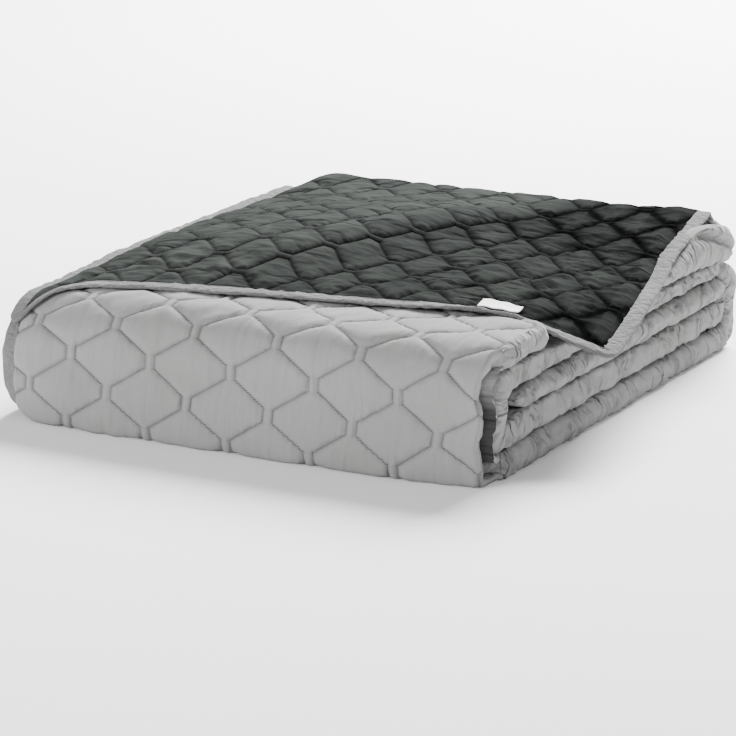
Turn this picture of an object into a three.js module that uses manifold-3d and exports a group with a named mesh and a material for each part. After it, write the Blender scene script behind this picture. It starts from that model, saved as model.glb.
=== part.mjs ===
// A quilted bedspread, folded into a soft rectangular pack, with one ply turned back over the top.
// Units are millimetres, +Z is up. X runs across the strip, Y from the front of the pack to its back.
//
// The cloth is first folded into a strip of four plies, with its folds on the right and its bound
// edges on the left. The strip is then rolled flat into five layers. Only its outermost ply runs on
// past the top layer: it turns back at the rear and comes forward over the whole top.

import * as THREE from 'three';
import Module from 'manifold-3d';

const wasm = await Module();
wasm.setup();

// Driving sizes of the pack
const HALF_WIDTH = 227;
const FRONT_Y = -257;
const BACK_Y = 257;
const PLY_PITCH = 5.1;
const PLY_THICKNESS = 3.4;
const PLIES = 4;
const ROLL_PITCH = PLIES * PLY_PITCH;
const LAYERS = 5;
const MESH_GAP = 0.3;

// The pack's rounding: how steeply it rises at the left, and the powers of the front turn's curve
const LEFT_RISE_POWER = 8;
const FRONT_LOW_POWER = 12;
const FRONT_TOP_POWER = { left: 2, right: 2.9 };
const FRONT_BELLY = 9;

// Quilting: mirrored trapezoid waves of stitching that run along the strip
const WAVE_PITCH = 76.8;
const WAVE_PERIOD = 60;
const CHANNEL = 9;
const STRAIGHT = 11;
const WAVE_START_X = 30;
const PUFF = 3;
const SEAM = 0.6;

// Edge tape
const TAPE_WIDTH = 11;
const TAPE_THICKNESS = 4.2;
const FLAP_TAPE_GAP = 0.6;

// Blank woven tag at the turned-back edge
const TAG_LENGTH = 36;
const TAG_WIDTH = 12;
const TAG_THICKNESS = 0.8;
const TAG_X = 177;
const TAG_OVER_TAPE = 7;
const TAG_FLAT_ZONE = 46;

// Where the straight runs of the strip end and its turns begin
const FRONT_TURN_Y = FRONT_Y + (LAYERS / 2) * ROLL_PITCH;
const BACK_TURN_Y = BACK_Y - (PLIES / 2) * ROLL_PITCH;
const INNER_END_Y = FRONT_TURN_Y + 12;
const TOP_END_Y = 226;

// The turned-back ply: its loop at the rear, its lift over the layer below, and its hanging corner
const FLAP_THICKNESS = 3.4;
const BURIED_LENGTH = 20;
const BURIED_THICKNESS = 1.2;
const BURIED_INSET = 2;
const LOOP_REACH = 19;
const LOOP_RIGHT = 221;
const LOOP_STEPS = 6;
const LOOP_COLUMNS = 8;
const TURN_MARGIN = 14;
const LOOP_RISE = 18;
const REAR_ZONE = 75;
const FLAP_LIFT = 1.2;
const FLAP_LIFT_FRONT = 4;
const FLAP_LIFT_ZONE = 70;
const FLAP_LENGTH = 388;
const FLAP_LENGTH_ZONE = 150;
const FLAP_BACK_RIGHT = 190;
const FLAP_CORNER_RIGHT = 253;
const RIGHT_EDGE_POWER = 1.6;
const FRONT_EDGE_Y = { left: -202.5, right: -117 };
const SHOULDER_X = 200;
const DROOP = 0.0082;
const DROOP_AT_REAR = 0.1;
const DROOP_FADE = { from: -120, to: 40 };
const LEFT_DROOP = 6;
const LEFT_DROOP_ZONE = { width: 60, from: -161, to: -227 };
const LEFT_EDGE_ZONE = 45;

// On the turned-back ply the waves of stitching run across, from its left edge to its right
const FLAP_WAVE_LENGTH = 502;
const FLAP_WAVE_START = 0.7;
const FLAP_FIRST_SEAM = 3;

// A soft ridge that runs over the top from the front left to the rear, steep on its right
const RIDGE = {
  front: { x: -75, y: -150 },
  back: { x: 60, y: 220 },
  height: 18,
  leftWidth: 190,
  rightWidth: 42,
  fadeIn: { from: -195, to: -60 },
  fadeOut: { from: 50, to: 215, keep: 0.15 },
};

// Heights of the creases between the layers, measured at three corners of the pack
const CREASES = [
  { above: 'surface', frontRight: 0, backRight: 0, left: 0 },
  { above: 'bottom layer', frontRight: 25, backRight: 23, left: 20 },
  { above: 'second layer', frontRight: 49, backRight: 46, left: 40 },
  { above: 'third layer', frontRight: 69, backRight: 70, left: 60 },
  { above: 'fourth layer', frontRight: 91, backRight: 84, left: 79 },
  { above: 'top layer', frontRight: 111, backRight: 114, left: 98 },
];
const TOP_SINK = 17;

// How far each layer's folds stand out on the right, from the bottom layer up
const FOLD_REACH = [
  { layer: 'bottom', reach: 0 },
  { layer: 'second', reach: -5 },
  { layer: 'third', reach: -1 },
  { layer: 'fourth', reach: -6 },
  { layer: 'top', reach: 0 },
];

// The folds wander a little in and out along the strip
const FOLD_WAVES = [
  { length: 60, size: 1.4, phase: 0 },
  { length: 83, size: 0.84, phase: 1.3 },
];

// The strip's centre line: runs and turns of the flat roll, from its inner end to its outer end.
// A run goes along one layer, and a turn swings round a centre through half a circle.
const ROUTE = [
  run(2, INNER_END_Y, BACK_TURN_Y, 4),
  turn('back', 0.5, 4),
  run(1, BACK_TURN_Y, FRONT_TURN_Y, 4),
  turn('front', 1, 6),
  run(3, FRONT_TURN_Y, BACK_TURN_Y, 4),
  turn('back', 1.5, 8, { phase: 0 }),
  run(0, BACK_TURN_Y, FRONT_TURN_Y, 4),
  turn('front', 2, 12, { phase: 21 }),
  run(4, FRONT_TURN_Y, TOP_END_Y, 6),
];

function run(layer, from, to, steps) {
  return { kind: 'run', layer, from, to, steps };
}

// A turn's radius is counted in layers, and a quilted turn gives the phase of its stitching
function turn(side, radius, steps, quilting) {
  const at = side === 'back' ? BACK_TURN_Y : FRONT_TURN_Y;
  const height = side === 'back' ? LAYERS / 2 - 0.5 : LAYERS / 2;
  return { kind: 'turn', side, at, height, radius, steps, quilting };
}

const lerp = THREE.MathUtils.lerp;
const clamp = THREE.MathUtils.clamp;

function smooth(value, from, to) {
  const t = clamp((value - from) / (to - from), 0, 1);
  return t * t * (3 - 2 * t);
}

// One piece of the route at a fraction of its length: place, outward normal, arc length

function routeLength(piece) {
  if (piece.kind === 'run') return Math.abs(piece.to - piece.from);
  return Math.PI * piece.radius * ROLL_PITCH;
}

function routePoint(piece, fraction) {
  if (piece.kind === 'run') {
    const forward = Math.sign(piece.to - piece.from);
    const y = lerp(piece.from, piece.to, fraction);
    return { y, z: (piece.layer + 0.5) * ROLL_PITCH, outY: 0, outZ: forward };
  }
  const start = piece.side === 'back' ? Math.PI / 2 : -Math.PI / 2;
  const angle = start - Math.PI * fraction;
  const outY = Math.cos(angle);
  const outZ = Math.sin(angle);
  const radius = piece.radius * ROLL_PITCH;
  const y = piece.at + radius * outY;
  const z = piece.height * ROLL_PITCH + radius * outZ;
  return { y, z, outY, outZ };
}

function routeStations() {
  const stations = [];
  let travelled = 0;
  for (const piece of ROUTE) {
    const first = stations.length === 0 ? 0 : 1;
    for (let step = first; step <= piece.steps; step += 1) {
      const fraction = step / piece.steps;
      const along = travelled + fraction * routeLength(piece);
      stations.push({ ...routePoint(piece, fraction), along });
    }
    travelled += routeLength(piece);
  }
  return stations;
}

// The pack's true shape: the ideal flat roll is bent by this map, which never folds over itself

function interpolate(values, position) {
  const lower = clamp(Math.floor(position), 0, values.length - 2);
  return lerp(values[lower], values[lower + 1], position - lower);
}

function packHeight(x, y, z) {
  const across = clamp((x + HALF_WIDTH) / (2 * HALF_WIDTH), 0, 1);
  const rise = 1 - (1 - across) ** LEFT_RISE_POWER;
  const deep = clamp((y - FRONT_Y) / (BACK_Y - FRONT_Y), 0, 1);
  const heights = CREASES.map((c) => lerp(c.left, lerp(c.frontRight, c.backRight, deep), rise));
  const sink = TOP_SINK * rise * smooth(y, TOP_END_Y - REAR_ZONE, TOP_END_Y);
  heights[LAYERS] -= sink;
  const level = z / ROLL_PITCH;
  const layered = interpolate(heights, level);
  const even = heights[LAYERS] * level / LAYERS;
  const atTurn = smooth(y, FRONT_TURN_Y + ROLL_PITCH, FRONT_TURN_Y - ROLL_PITCH / 2);
  return lerp(layered, even, atTurn);
}

// The front turn is round above, and squarer towards the right. Low down it is nearly square, as it
// rests on the surface, and it bellies forward between the two ends.
function frontSwell(x, y, z) {
  const back = FRONT_TURN_Y - y;
  if (back <= 0) return { y, z };
  const middle = (LAYERS / 2) * ROLL_PITCH;
  const up = z - middle;
  const angle = Math.atan2(up, back);
  const across = smooth(x, -HALF_WIDTH, 0.4 * HALF_WIDTH);
  const power = up < 0 ? FRONT_LOW_POWER : lerp(FRONT_TOP_POWER.left, FRONT_TOP_POWER.right, across);
  const c = Math.cos(angle) ** power;
  const s = Math.abs(Math.sin(angle)) ** power;
  const grow = (c + s) ** (-1 / power);
  const ends = smooth(x, -HALF_WIDTH, -0.8 * HALF_WIDTH) * smooth(x, 0.95 * HALF_WIDTH, 0.6 * HALF_WIDTH);
  const low = smooth(up, ROLL_PITCH / 2, -1.5 * ROLL_PITCH) * smooth(back, 0, 1.5 * ROLL_PITCH);
  return { y: FRONT_TURN_Y - back * grow - FRONT_BELLY * ends * low, z: middle + up * grow };
}

function foldWave(along) {
  const waves = FOLD_WAVES.map((w) => w.size * Math.sin(along * 2 * Math.PI / w.length + w.phase));
  return waves.reduce((sum, wave) => sum + wave, 0);
}

function bend(x, y, z, along) {
  const swelled = frontSwell(x, y, z);
  const height = packHeight(x, swelled.y, swelled.z);
  const level = swelled.z / ROLL_PITCH - 0.5;
  const nearFolds = clamp((x - 0.3 * HALF_WIDTH) / (0.7 * HALF_WIDTH), 0, 1) ** 2;
  const reach = interpolate(FOLD_REACH.map((f) => f.reach), clamp(level, 0, LAYERS - 1));
  const shift = nearFolds * (reach + foldWave(along));
  return new THREE.Vector3(x + shift, swelled.y, Math.max(height, 0));
}

// Depth of the lowest ply's face below the strip's centre line, which rests on the surface
const OUTER_FACE = 1.5 * PLY_PITCH + PLY_THICKNESS / 2;
const FLOOR_SHIFT = ROLL_PITCH / 2 - OUTER_FACE;

function stripPoint(station, x, out) {
  const y = station.y + station.outY * out;
  const z = station.z + station.outZ * out - FLOOR_SHIFT;
  return bend(x, y, z, station.along);
}

// The strip's own section: four plies as one back-and-forth line, folded at the right

const CLOTH_LEFT = -HALF_WIDTH + TAPE_WIDTH + MESH_GAP;
const FOLD_LEFT = -HALF_WIDTH + 6;
const FOLD_X = HALF_WIDTH - OUTER_FACE;
const COLUMNS = [-170, -20];

function straightPly(out, from, to, facing) {
  const columns = from < to ? COLUMNS : [...COLUMNS].reverse();
  return [from, ...columns, to].map((x) => ({ x, out, faceX: 0, faceOut: facing }));
}

function foldArc(centreX, centreOut, radius, startAngle, sweep, steps) {
  const points = [];
  for (let step = 1; step < steps; step += 1) {
    const angle = startAngle + sweep * step / steps;
    const cos = Math.cos(angle);
    const sin = Math.sin(angle);
    const facing = Math.sign(-sweep);
    points.push({
      x: centreX + radius * cos,
      out: centreOut + radius * sin,
      faceX: facing * cos,
      faceOut: facing * sin,
    });
  }
  return points;
}

function plySection() {
  const outer = 1.5 * PLY_PITCH;
  const inner = 0.5 * PLY_PITCH;
  const leftCentre = FOLD_LEFT + inner;
  return [
    ...straightPly(outer, CLOTH_LEFT, FOLD_X, 1),
    ...foldArc(FOLD_X, 0, outer, Math.PI / 2, -Math.PI, 4),
    ...straightPly(-outer, FOLD_X, leftCentre, -1),
    ...foldArc(leftCentre, -PLY_PITCH, inner, -Math.PI / 2, -Math.PI, 2),
    ...straightPly(-inner, leftCentre, FOLD_X, 1),
    ...foldArc(FOLD_X, 0, inner, -Math.PI / 2, Math.PI, 2),
    ...straightPly(inner, FOLD_X, CLOTH_LEFT, -1),
  ];
}

function sectionOutline(line, thickness) {
  const side = (sign) => line.map((p) => ({
    x: p.x + sign * p.faceX * thickness / 2,
    out: p.out + sign * p.faceOut * thickness / 2,
  }));
  return [...side(1), ...side(-1).reverse()];
}

// Closed solids from rings of points: each ring is joined to the next, and the two ends are capped

function ringSolid(rings, outline) {
  const count = outline.length;
  const positions = rings.flat().flatMap((p) => [p.x, p.y, p.z]);
  const triangles = [];
  for (let ring = 0; ring < rings.length - 1; ring += 1) {
    for (let i = 0; i < count; i += 1) {
      const a = ring * count + i;
      const b = ring * count + (i + 1) % count;
      triangles.push([a, b, b + count], [a, b + count, a + count]);
    }
  }
  const flat = outline.map((p) => new THREE.Vector2(p.x, p.out));
  const last = (rings.length - 1) * count;
  const clockwise = THREE.ShapeUtils.isClockWise(flat);
  for (const [a, b, c] of THREE.ShapeUtils.triangulateShape(flat, [])) {
    const cap = clockwise ? [a, c, b] : [a, b, c];
    triangles.push([cap[0], cap[2], cap[1]], cap.map((k) => last + k));
  }
  return toManifold(positions, triangles);
}

// A closed slab from two grids of the same rows and columns, upper and lower

function slabSolid(upper, lower) {
  const rows = upper.length;
  const columns = upper[0].length;
  const positions = [...upper.flat(), ...lower.flat()].flatMap((p) => [p.x, p.y, p.z]);
  const low = rows * columns;
  const at = (row, column) => row * columns + column;
  const triangles = [];
  const quad = (a, b, c, d) => triangles.push([a, b, c], [a, c, d]);
  for (let r = 0; r < rows - 1; r += 1) {
    for (let c = 0; c < columns - 1; c += 1) {
      const corners = [at(r, c), at(r, c + 1), at(r + 1, c + 1), at(r + 1, c)];
      quad(...corners);
      quad(...corners.map((k) => k + low).reverse());
    }
  }
  const rim = [];
  for (let c = 0; c < columns - 1; c += 1) rim.push(at(0, c));
  for (let r = 0; r < rows - 1; r += 1) rim.push(at(r, columns - 1));
  for (let c = columns - 1; c > 0; c -= 1) rim.push(at(rows - 1, c));
  for (let r = rows - 1; r > 0; r -= 1) rim.push(at(r, 0));
  rim.forEach((a, i) => {
    const b = rim[(i + 1) % rim.length];
    quad(b, a, a + low, b + low);
  });
  return toManifold(positions, triangles);
}

function toManifold(positions, triangles) {
  const solid = new wasm.Manifold(new wasm.Mesh({
    numProp: 3,
    vertProperties: new Float32Array(positions),
    triVerts: new Uint32Array(triangles.flat()),
  }));
  if (solid.volume() > 0) return solid;
  const turned = triangles.map(([a, b, c]) => [a, c, b]);
  return new wasm.Manifold(new wasm.Mesh({
    numProp: 3,
    vertProperties: new Float32Array(positions),
    triVerts: new Uint32Array(turned.flat()),
  }));
}

// Quilting lines: where each stitched line stands across the strip at a length along it

function waveSwing(along) {
  const half = WAVE_PERIOD / 2;
  const phase = THREE.MathUtils.euclideanModulo(along, WAVE_PERIOD) / half;
  const triangle = phase < 1 ? phase : 2 - phase;
  const flat = STRAIGHT / 2 / half;
  return clamp((triangle - flat) / (1 - 2 * flat), 0, 1);
}

function stitchLine(index, along) {
  const narrow = CHANNEL / 2;
  const swing = index % 2 === 0 ? waveSwing(along) : 1 - waveSwing(along);
  return WAVE_START_X + index * WAVE_PITCH / 2 + lerp(narrow, WAVE_PITCH / 2 - narrow, swing);
}

// Lengths along the strip where the stitched lines bend, from one end of a face to the other.
// A curved face has one more level halfway up each slanting stretch.
function waveLevels(from, to, phase, curved) {
  const half = WAVE_PERIOD / 2;
  const bends = [STRAIGHT / 2, half - STRAIGHT / 2];
  const marks = curved ? [bends[0], half / 2, bends[1]] : bends;
  const levels = [from];
  for (let start = Math.floor((from + phase) / half) * half - phase; start < to; start += half) {
    for (const mark of marks) {
      const level = start + mark;
      if (level > from + PLY_THICKNESS && level < to - PLY_THICKNESS) levels.push(level);
    }
  }
  return [...levels, to];
}

// Columns of a quilted face at one level: each stitched line is low, and each cell's middle is raised
function quiltColumns(along, left, right) {
  const half = WAVE_PITCH / 2;
  const first = Math.ceil((left - WAVE_START_X) / half);
  const last = Math.floor((right - WAVE_START_X) / half) - 1;
  const seams = [left];
  for (let index = first; index <= last; index += 1) seams.push(stitchLine(index, along));
  seams.push(right);
  const columns = [{ x: left, raise: SEAM }];
  for (let i = 1; i < seams.length; i += 1) {
    const width = seams[i] - seams[i - 1];
    const puff = PUFF * smooth(width, 0, WAVE_PITCH - CHANNEL);
    columns.push({ x: seams[i - 1] + width / 2, raise: SEAM + puff });
    columns.push({ x: seams[i], raise: SEAM });
  }
  return columns;
}

// The quilted face of the strip's outermost ply on one of its turns. Its back is buried in the ply,
// so that only the raised face is left when the two are joined. It follows the strip's own flat
// facets, from one station to the next and from one column to the next.

function facetPoint(piece, travelled, fraction, x, out) {
  const step = clamp(Math.floor(fraction * piece.steps), 0, piece.steps - 1);
  const columns = [CLOTH_LEFT, ...COLUMNS, FOLD_X];
  const next = clamp(columns.findIndex((column) => column >= x), 1, columns.length - 1);
  const across = (x - columns[next - 1]) / (columns[next] - columns[next - 1]);
  const row = (at) => {
    const along = travelled + at / piece.steps * routeLength(piece);
    const station = { ...routePoint(piece, at / piece.steps), along };
    const near = stripPoint(station, columns[next - 1], out);
    const far = stripPoint(station, columns[next], out);
    return near.lerp(far, across);
  };
  return row(step).lerp(row(step + 1), fraction * piece.steps - step);
}

function quiltedTurn(piece, travelled) {
  const { phase } = piece.quilting;
  const arc = Math.PI * (piece.radius * ROLL_PITCH + OUTER_FACE);
  const levels = waveLevels(-arc / 2 + TURN_MARGIN, arc / 2 - MESH_GAP, phase, true);
  const grid = (out, raised) => levels.map((level) => {
    const columns = quiltColumns(level + phase, CLOTH_LEFT + MESH_GAP, FOLD_X - MESH_GAP);
    return columns.map((column) => {
      const outward = out + (raised ? column.raise : 0);
      return facetPoint(piece, travelled, level / arc + 0.5, column.x, outward);
    });
  });
  return slabSolid(grid(OUTER_FACE, true), grid(OUTER_FACE - PLY_THICKNESS / 2, false));
}

// The turned-back ply: it leaves the top layer at the rear and comes forward over the whole top

function topSurface(x, y) {
  return bend(x, y, LAYERS * ROLL_PITCH - FLOOR_SHIFT, 0).z;
}

function flapFront(across) {
  return lerp(FRONT_EDGE_Y.left, FRONT_EDGE_Y.right, across);
}

// How far the flap stands off the layer below, a little more along its taped front edge
function flapLift(x, y) {
  const across = (x - CLOTH_LEFT) / (FLAP_CORNER_RIGHT - CLOTH_LEFT);
  const inside = y - flapFront(across);
  return lerp(FLAP_LIFT_FRONT, FLAP_LIFT, smooth(inside, 0, FLAP_LIFT_ZONE));
}

function ridge(x, y) {
  const { front, back, fadeIn, fadeOut } = RIDGE;
  const off = x - lerp(front.x, back.x, (y - front.y) / (back.y - front.y));
  const width = off < 0 ? RIDGE.leftWidth : RIDGE.rightWidth;
  const kept = lerp(1, fadeOut.keep, smooth(y, fadeOut.from, fadeOut.to));
  const rise = smooth(y, fadeIn.from, fadeIn.to) * kept;
  return RIDGE.height * Math.exp(-((off / width) ** 2)) * rise;
}

// Height of the flap's middle surface
function flapHeight(x, y) {
  const over = Math.max(0, x - SHOULDER_X);
  const rest = topSurface(Math.min(x, SHOULDER_X), Math.max(y, FRONT_TURN_Y));
  const inward = smooth(x, -HALF_WIDTH, -HALF_WIDTH + LEFT_EDGE_ZONE);
  const leftZone = LEFT_DROOP_ZONE;
  const forward = smooth(y, leftZone.from, leftZone.to);
  const leftCorner = forward * smooth(x, leftZone.width - HALF_WIDTH, -HALF_WIDTH);
  const loop = LOOP_RISE * smooth(y, TOP_END_Y - REAR_ZONE, TOP_END_Y) * inward;
  const towardsRear = smooth(y, DROOP_FADE.from, DROOP_FADE.to);
  const droop = DROOP * lerp(1, DROOP_AT_REAR, towardsRear) * over * over + LEFT_DROOP * leftCorner;
  return rest + FLAP_THICKNESS / 2 + flapLift(x, y) + loop + inward * ridge(x, y) - droop;
}

// A place on the flap: across from its left edge to its right, deep from its back to its front edge.
// Its front edge slants, and the difference in length is taken up towards the rear.
function flapPoint(across, deep) {
  const right = lerp(FLAP_BACK_RIGHT, FLAP_CORNER_RIGHT, deep ** RIGHT_EDGE_POWER);
  const x = lerp(CLOTH_LEFT, right, across);
  const front = flapFront(across);
  const inside = (1 - deep) * FLAP_LENGTH;
  const extra = TOP_END_Y - front - FLAP_LENGTH;
  const y = front + inside + extra * smooth(inside, FLAP_LENGTH_ZONE, FLAP_LENGTH);
  return new THREE.Vector3(x, y, flapHeight(x, y));
}

function flapNormal(across, deep) {
  const step = 0.01;
  const a = clamp(across, step, 1 - step);
  const d = clamp(deep, step, 1 - step);
  const sideways = flapPoint(a + step, d).sub(flapPoint(a - step, d));
  const forwards = flapPoint(a, d + step).sub(flapPoint(a, d - step));
  return forwards.cross(sideways).normalize();
}

// The loop and the buried start, before the flap proper: a place and the way its dark side faces.
// The loop is as wide as the layer below it, and narrows to the flap's width as it comes over.
function loopPoint(across, angle) {
  const over = flapPoint(across, 0);
  const wide = lerp(CLOTH_LEFT, LOOP_RIGHT, across);
  over.x = lerp(wide, over.x, Math.max(0, Math.sin(angle)) ** 0.4);
  const under = bend(over.x, over.y, topPlyHeight(), 0);
  const middle = (over.z + under.z) / 2;
  const y = over.y + LOOP_REACH * Math.cos(angle);
  const z = middle + (over.z - middle) * Math.sin(angle);
  return new THREE.Vector3(over.x, y, z);
}

function topPlyHeight() {
  return (LAYERS - 0.5) * ROLL_PITCH + 1.5 * PLY_PITCH - FLOOR_SHIFT;
}

function buriedPoint(across, back) {
  const x = lerp(CLOTH_LEFT + BURIED_INSET, LOOP_RIGHT - BURIED_INSET, across);
  return bend(x, TOP_END_Y - back, topPlyHeight(), 0);
}

// The loop's sheet as two grids of points, from its start in the top layer to its end in the flap
function loopSheet() {
  const thin = BURIED_THICKNESS / 2;
  const across = Array.from({ length: LOOP_COLUMNS + 1 }, (_, i) => i / LOOP_COLUMNS);
  const down = new THREE.Vector3(0, 0, -1);
  const rows = [];
  for (const back of [BURIED_LENGTH, BURIED_LENGTH / 4]) {
    rows.push(across.map((a) => ({ at: buriedPoint(a, back), dark: down, half: thin })));
  }
  for (let step = 1; step < LOOP_STEPS; step += 1) {
    const angle = -Math.PI / 2 + Math.PI * step / LOOP_STEPS;
    const dark = new THREE.Vector3(0, Math.cos(angle), Math.sin(angle));
    rows.push(across.map((a) => ({ at: loopPoint(a, angle), dark, half: FLAP_THICKNESS / 2 })));
  }
  for (const deep of [0.01, 0.03]) {
    rows.push(across.map((a) => ({ at: flapPoint(a, deep), dark: flapNormal(a, deep), half: thin })));
  }
  const place = (p, sign) => p.at.clone().addScaledVector(p.dark, sign * p.half);
  const face = (sign) => rows.map((row) => row.map((p) => place(p, sign)));
  return slabSolid(face(1), face(-1));
}

// Rows of the flap's sheet from its left edge to its right, and the columns of one row, from its
// front edge to its rear. The waves of stitching run along the front edge here.
function flapRows() {
  const start = -FLAP_WAVE_START * FLAP_WAVE_LENGTH;
  const levels = waveLevels(start, start + FLAP_WAVE_LENGTH, 0, false);
  return levels.map((level) => ({ level, across: (level - start) / FLAP_WAVE_LENGTH }));
}

function flapColumns(level) {
  const columns = quiltColumns(level, -FLAP_FIRST_SEAM, FLAP_LENGTH - FLAP_FIRST_SEAM);
  return columns.map((column) => ({
    deep: 1 - (column.x + FLAP_FIRST_SEAM) / FLAP_LENGTH,
    raise: column.raise,
  }));
}

// The flap's sheet, quilted on its upper face, which stays low where the tag lies
function flapSheet() {
  const tag = tagCentre();
  const grid = (raised) => flapRows().map((row) => flapColumns(row.level).map((column) => {
    const at = flapPoint(row.across, column.deep);
    const raise = at.distanceTo(tag) < TAG_FLAT_ZONE ? SEAM : column.raise;
    const out = raised ? FLAP_THICKNESS / 2 + raise : -FLAP_THICKNESS / 2;
    return at.addScaledVector(flapNormal(row.across, column.deep), out);
  }));
  return slabSolid(grid(true), grid(false));
}

// Edge tape: a padded band swept beside the cloth's edge

const TAPE_OUTLINE = [
  { x: 0, out: 0.8 },
  { x: 0.5, out: 1 },
  { x: 1, out: 0.6 },
  { x: 1, out: -0.6 },
  { x: 0.5, out: -1 },
  { x: 0, out: -0.8 },
];

function leftTape(out) {
  const near = CLOTH_LEFT - MESH_GAP;
  const outline = TAPE_OUTLINE.map((p) => ({
    x: near - p.x * (TAPE_WIDTH - MESH_GAP),
    out: out + p.out * TAPE_THICKNESS / 2,
  }));
  const rings = routeStations().map((station) => outline.map((p) => stripPoint(station, p.x, p.out)));
  return ringSolid(rings, outline);
}

// The left side of the loop, where the tape stands a little further off
function loopFrames(outward) {
  const frames = [];
  for (let step = 1; step < LOOP_STEPS; step += 1) {
    const angle = -Math.PI / 2 + Math.PI * step / LOOP_STEPS;
    const up = new THREE.Vector3(0, Math.cos(angle), Math.sin(angle));
    frames.push({ at: loopPoint(0, angle).addScaledVector(outward, 2 * MESH_GAP), outward, up });
  }
  return frames;
}

// The flap's tape: up round the loop at the left, then along the three free edges to the rear
function flapTape() {
  const left = new THREE.Vector3(-1, 0, 0);
  const forwards = (across) => flapPoint(across, 1).sub(flapPoint(across, 0.96)).normalize();
  const sideways = (deep) => flapPoint(1, deep).sub(flapPoint(0.98, deep)).normalize();
  const frame = (across, deep, outward) => ({
    at: flapPoint(across, deep),
    outward,
    up: flapNormal(across, deep),
  });
  const rows = flapRows();
  const last = rows.length - 1;
  const deeps = (row) => flapColumns(row.level).map((column) => column.deep).slice(1);
  const frames = [
    ...loopFrames(left),
    ...deeps(rows[0]).reverse().map((deep) => frame(0, deep, left)),
    frame(0, 1, left.clone().add(forwards(0))),
    ...rows.slice(1, last).map((row) => frame(row.across, 1, forwards(row.across))),
    frame(1, 1, sideways(1).add(forwards(1))),
    ...deeps(rows[last]).map((deep) => frame(1, deep, sideways(deep))),
  ];
  const rings = frames.map((f) => TAPE_OUTLINE.map((p) => f.at.clone()
    .addScaledVector(f.outward, FLAP_TAPE_GAP + p.x * (TAPE_WIDTH - FLAP_TAPE_GAP))
    .addScaledVector(f.up, p.out * TAPE_THICKNESS / 2)));
  return ringSolid(rings, TAPE_OUTLINE);
}

// The tag lies on the dark side, with its front half over the tape of the front edge

function tagPlace(x, back) {
  const across = (x - CLOTH_LEFT) / (FLAP_CORNER_RIGHT - CLOTH_LEFT);
  return { across, deep: 1 - back / FLAP_LENGTH };
}

function tagCentre() {
  const place = tagPlace(TAG_X, TAG_WIDTH / 2 - TAG_OVER_TAPE);
  return flapPoint(place.across, place.deep);
}

function tagSolid() {
  const rest = FLAP_THICKNESS / 2 + SEAM + MESH_GAP;
  const pointAt = (part, back, out) => {
    const { across, deep } = tagPlace(TAG_X + part * TAG_LENGTH, back - TAG_OVER_TAPE);
    return flapPoint(across, deep).addScaledVector(flapNormal(across, deep), out);
  };
  const parts = [-0.5, -0.25, 0, 0.25, 0.5];
  const backs = [TAG_WIDTH, TAG_WIDTH / 2, 0];
  const grid = (out) => backs.map((back) => parts.map((part) => pointAt(part, back, out)));
  return slabSolid(grid(rest + TAG_THICKNESS), grid(rest));
}

// Meshes and their finishes

function meshOf(name, solid, material) {
  const { vertProperties, triVerts } = solid.getMesh();
  const geometry = new THREE.BufferGeometry();
  geometry.setAttribute('position', new THREE.BufferAttribute(new Float32Array(vertProperties), 3));
  geometry.setIndex(new THREE.BufferAttribute(new Uint32Array(triVerts), 1));
  geometry.computeVertexNormals();
  const mesh = new THREE.Mesh(geometry, material);
  mesh.name = name;
  return mesh;
}

function quiltedCloth() {
  const line = plySection();
  const outline = sectionOutline(line, PLY_THICKNESS);
  const rings = routeStations().map((station) => outline.map((p) => stripPoint(station, p.x, p.out)));
  let cloth = ringSolid(rings, outline);
  let travelled = 0;
  for (const piece of ROUTE) {
    if (piece.quilting) cloth = cloth.add(quiltedTurn(piece, travelled));
    travelled += routeLength(piece);
  }
  return cloth.add(loopSheet()).add(flapSheet());
}

const lightCloth = new THREE.MeshStandardMaterial({ color: 0xb4b4b6, roughness: 0.8, metalness: 0 });
const tapeCloth = new THREE.MeshStandardMaterial({ color: 0xaaaaac, roughness: 0.75, metalness: 0 });
const tagCloth = new THREE.MeshStandardMaterial({ color: 0xf2f2f0, roughness: 0.6, metalness: 0 });

const bedspread = new THREE.Group();
bedspread.add(meshOf('quilted_cloth', quiltedCloth(), lightCloth));
bedspread.add(meshOf('edge_tape_outer_ply', leftTape(1.5 * PLY_PITCH), tapeCloth));
bedspread.add(meshOf('edge_tape_inner_ply', leftTape(0.5 * PLY_PITCH), tapeCloth));
bedspread.add(meshOf('edge_tape_flap', flapTape(), tapeCloth));
bedspread.add(meshOf('woven_tag', tagSolid(), tagCloth));

// The origin is under the middle of the pack, on the surface that it rests on
const bounds = new THREE.Box3().setFromObject(bedspread);
const middle = bounds.getCenter(new THREE.Vector3());
bedspread.position.set(-middle.x, -middle.y, 0);

export default bedspread;
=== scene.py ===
import math
from collections import namedtuple
from functools import partialmethod

import bpy
import numpy as np
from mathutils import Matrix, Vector


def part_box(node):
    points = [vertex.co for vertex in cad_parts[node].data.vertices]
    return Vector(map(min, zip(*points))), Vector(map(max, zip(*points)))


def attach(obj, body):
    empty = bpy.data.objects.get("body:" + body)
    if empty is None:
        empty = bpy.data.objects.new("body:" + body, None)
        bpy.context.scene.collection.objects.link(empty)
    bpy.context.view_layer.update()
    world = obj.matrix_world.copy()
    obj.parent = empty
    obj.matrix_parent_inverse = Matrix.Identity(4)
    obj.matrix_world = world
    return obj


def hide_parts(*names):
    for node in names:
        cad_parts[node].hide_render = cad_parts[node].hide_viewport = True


# A quilted bedspread, folded into a soft pack, with one dark ply turned back over the top.
# The pack's shape is worked out in millimetres in its own frame, as in the part's source: X runs
# across the strip, Y from front to back, Z up from the floor.
# A zone is a stretch over which a form grows to its full size. A patch has a zone across and two
# zones along Y, from its front and from its rear.

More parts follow.
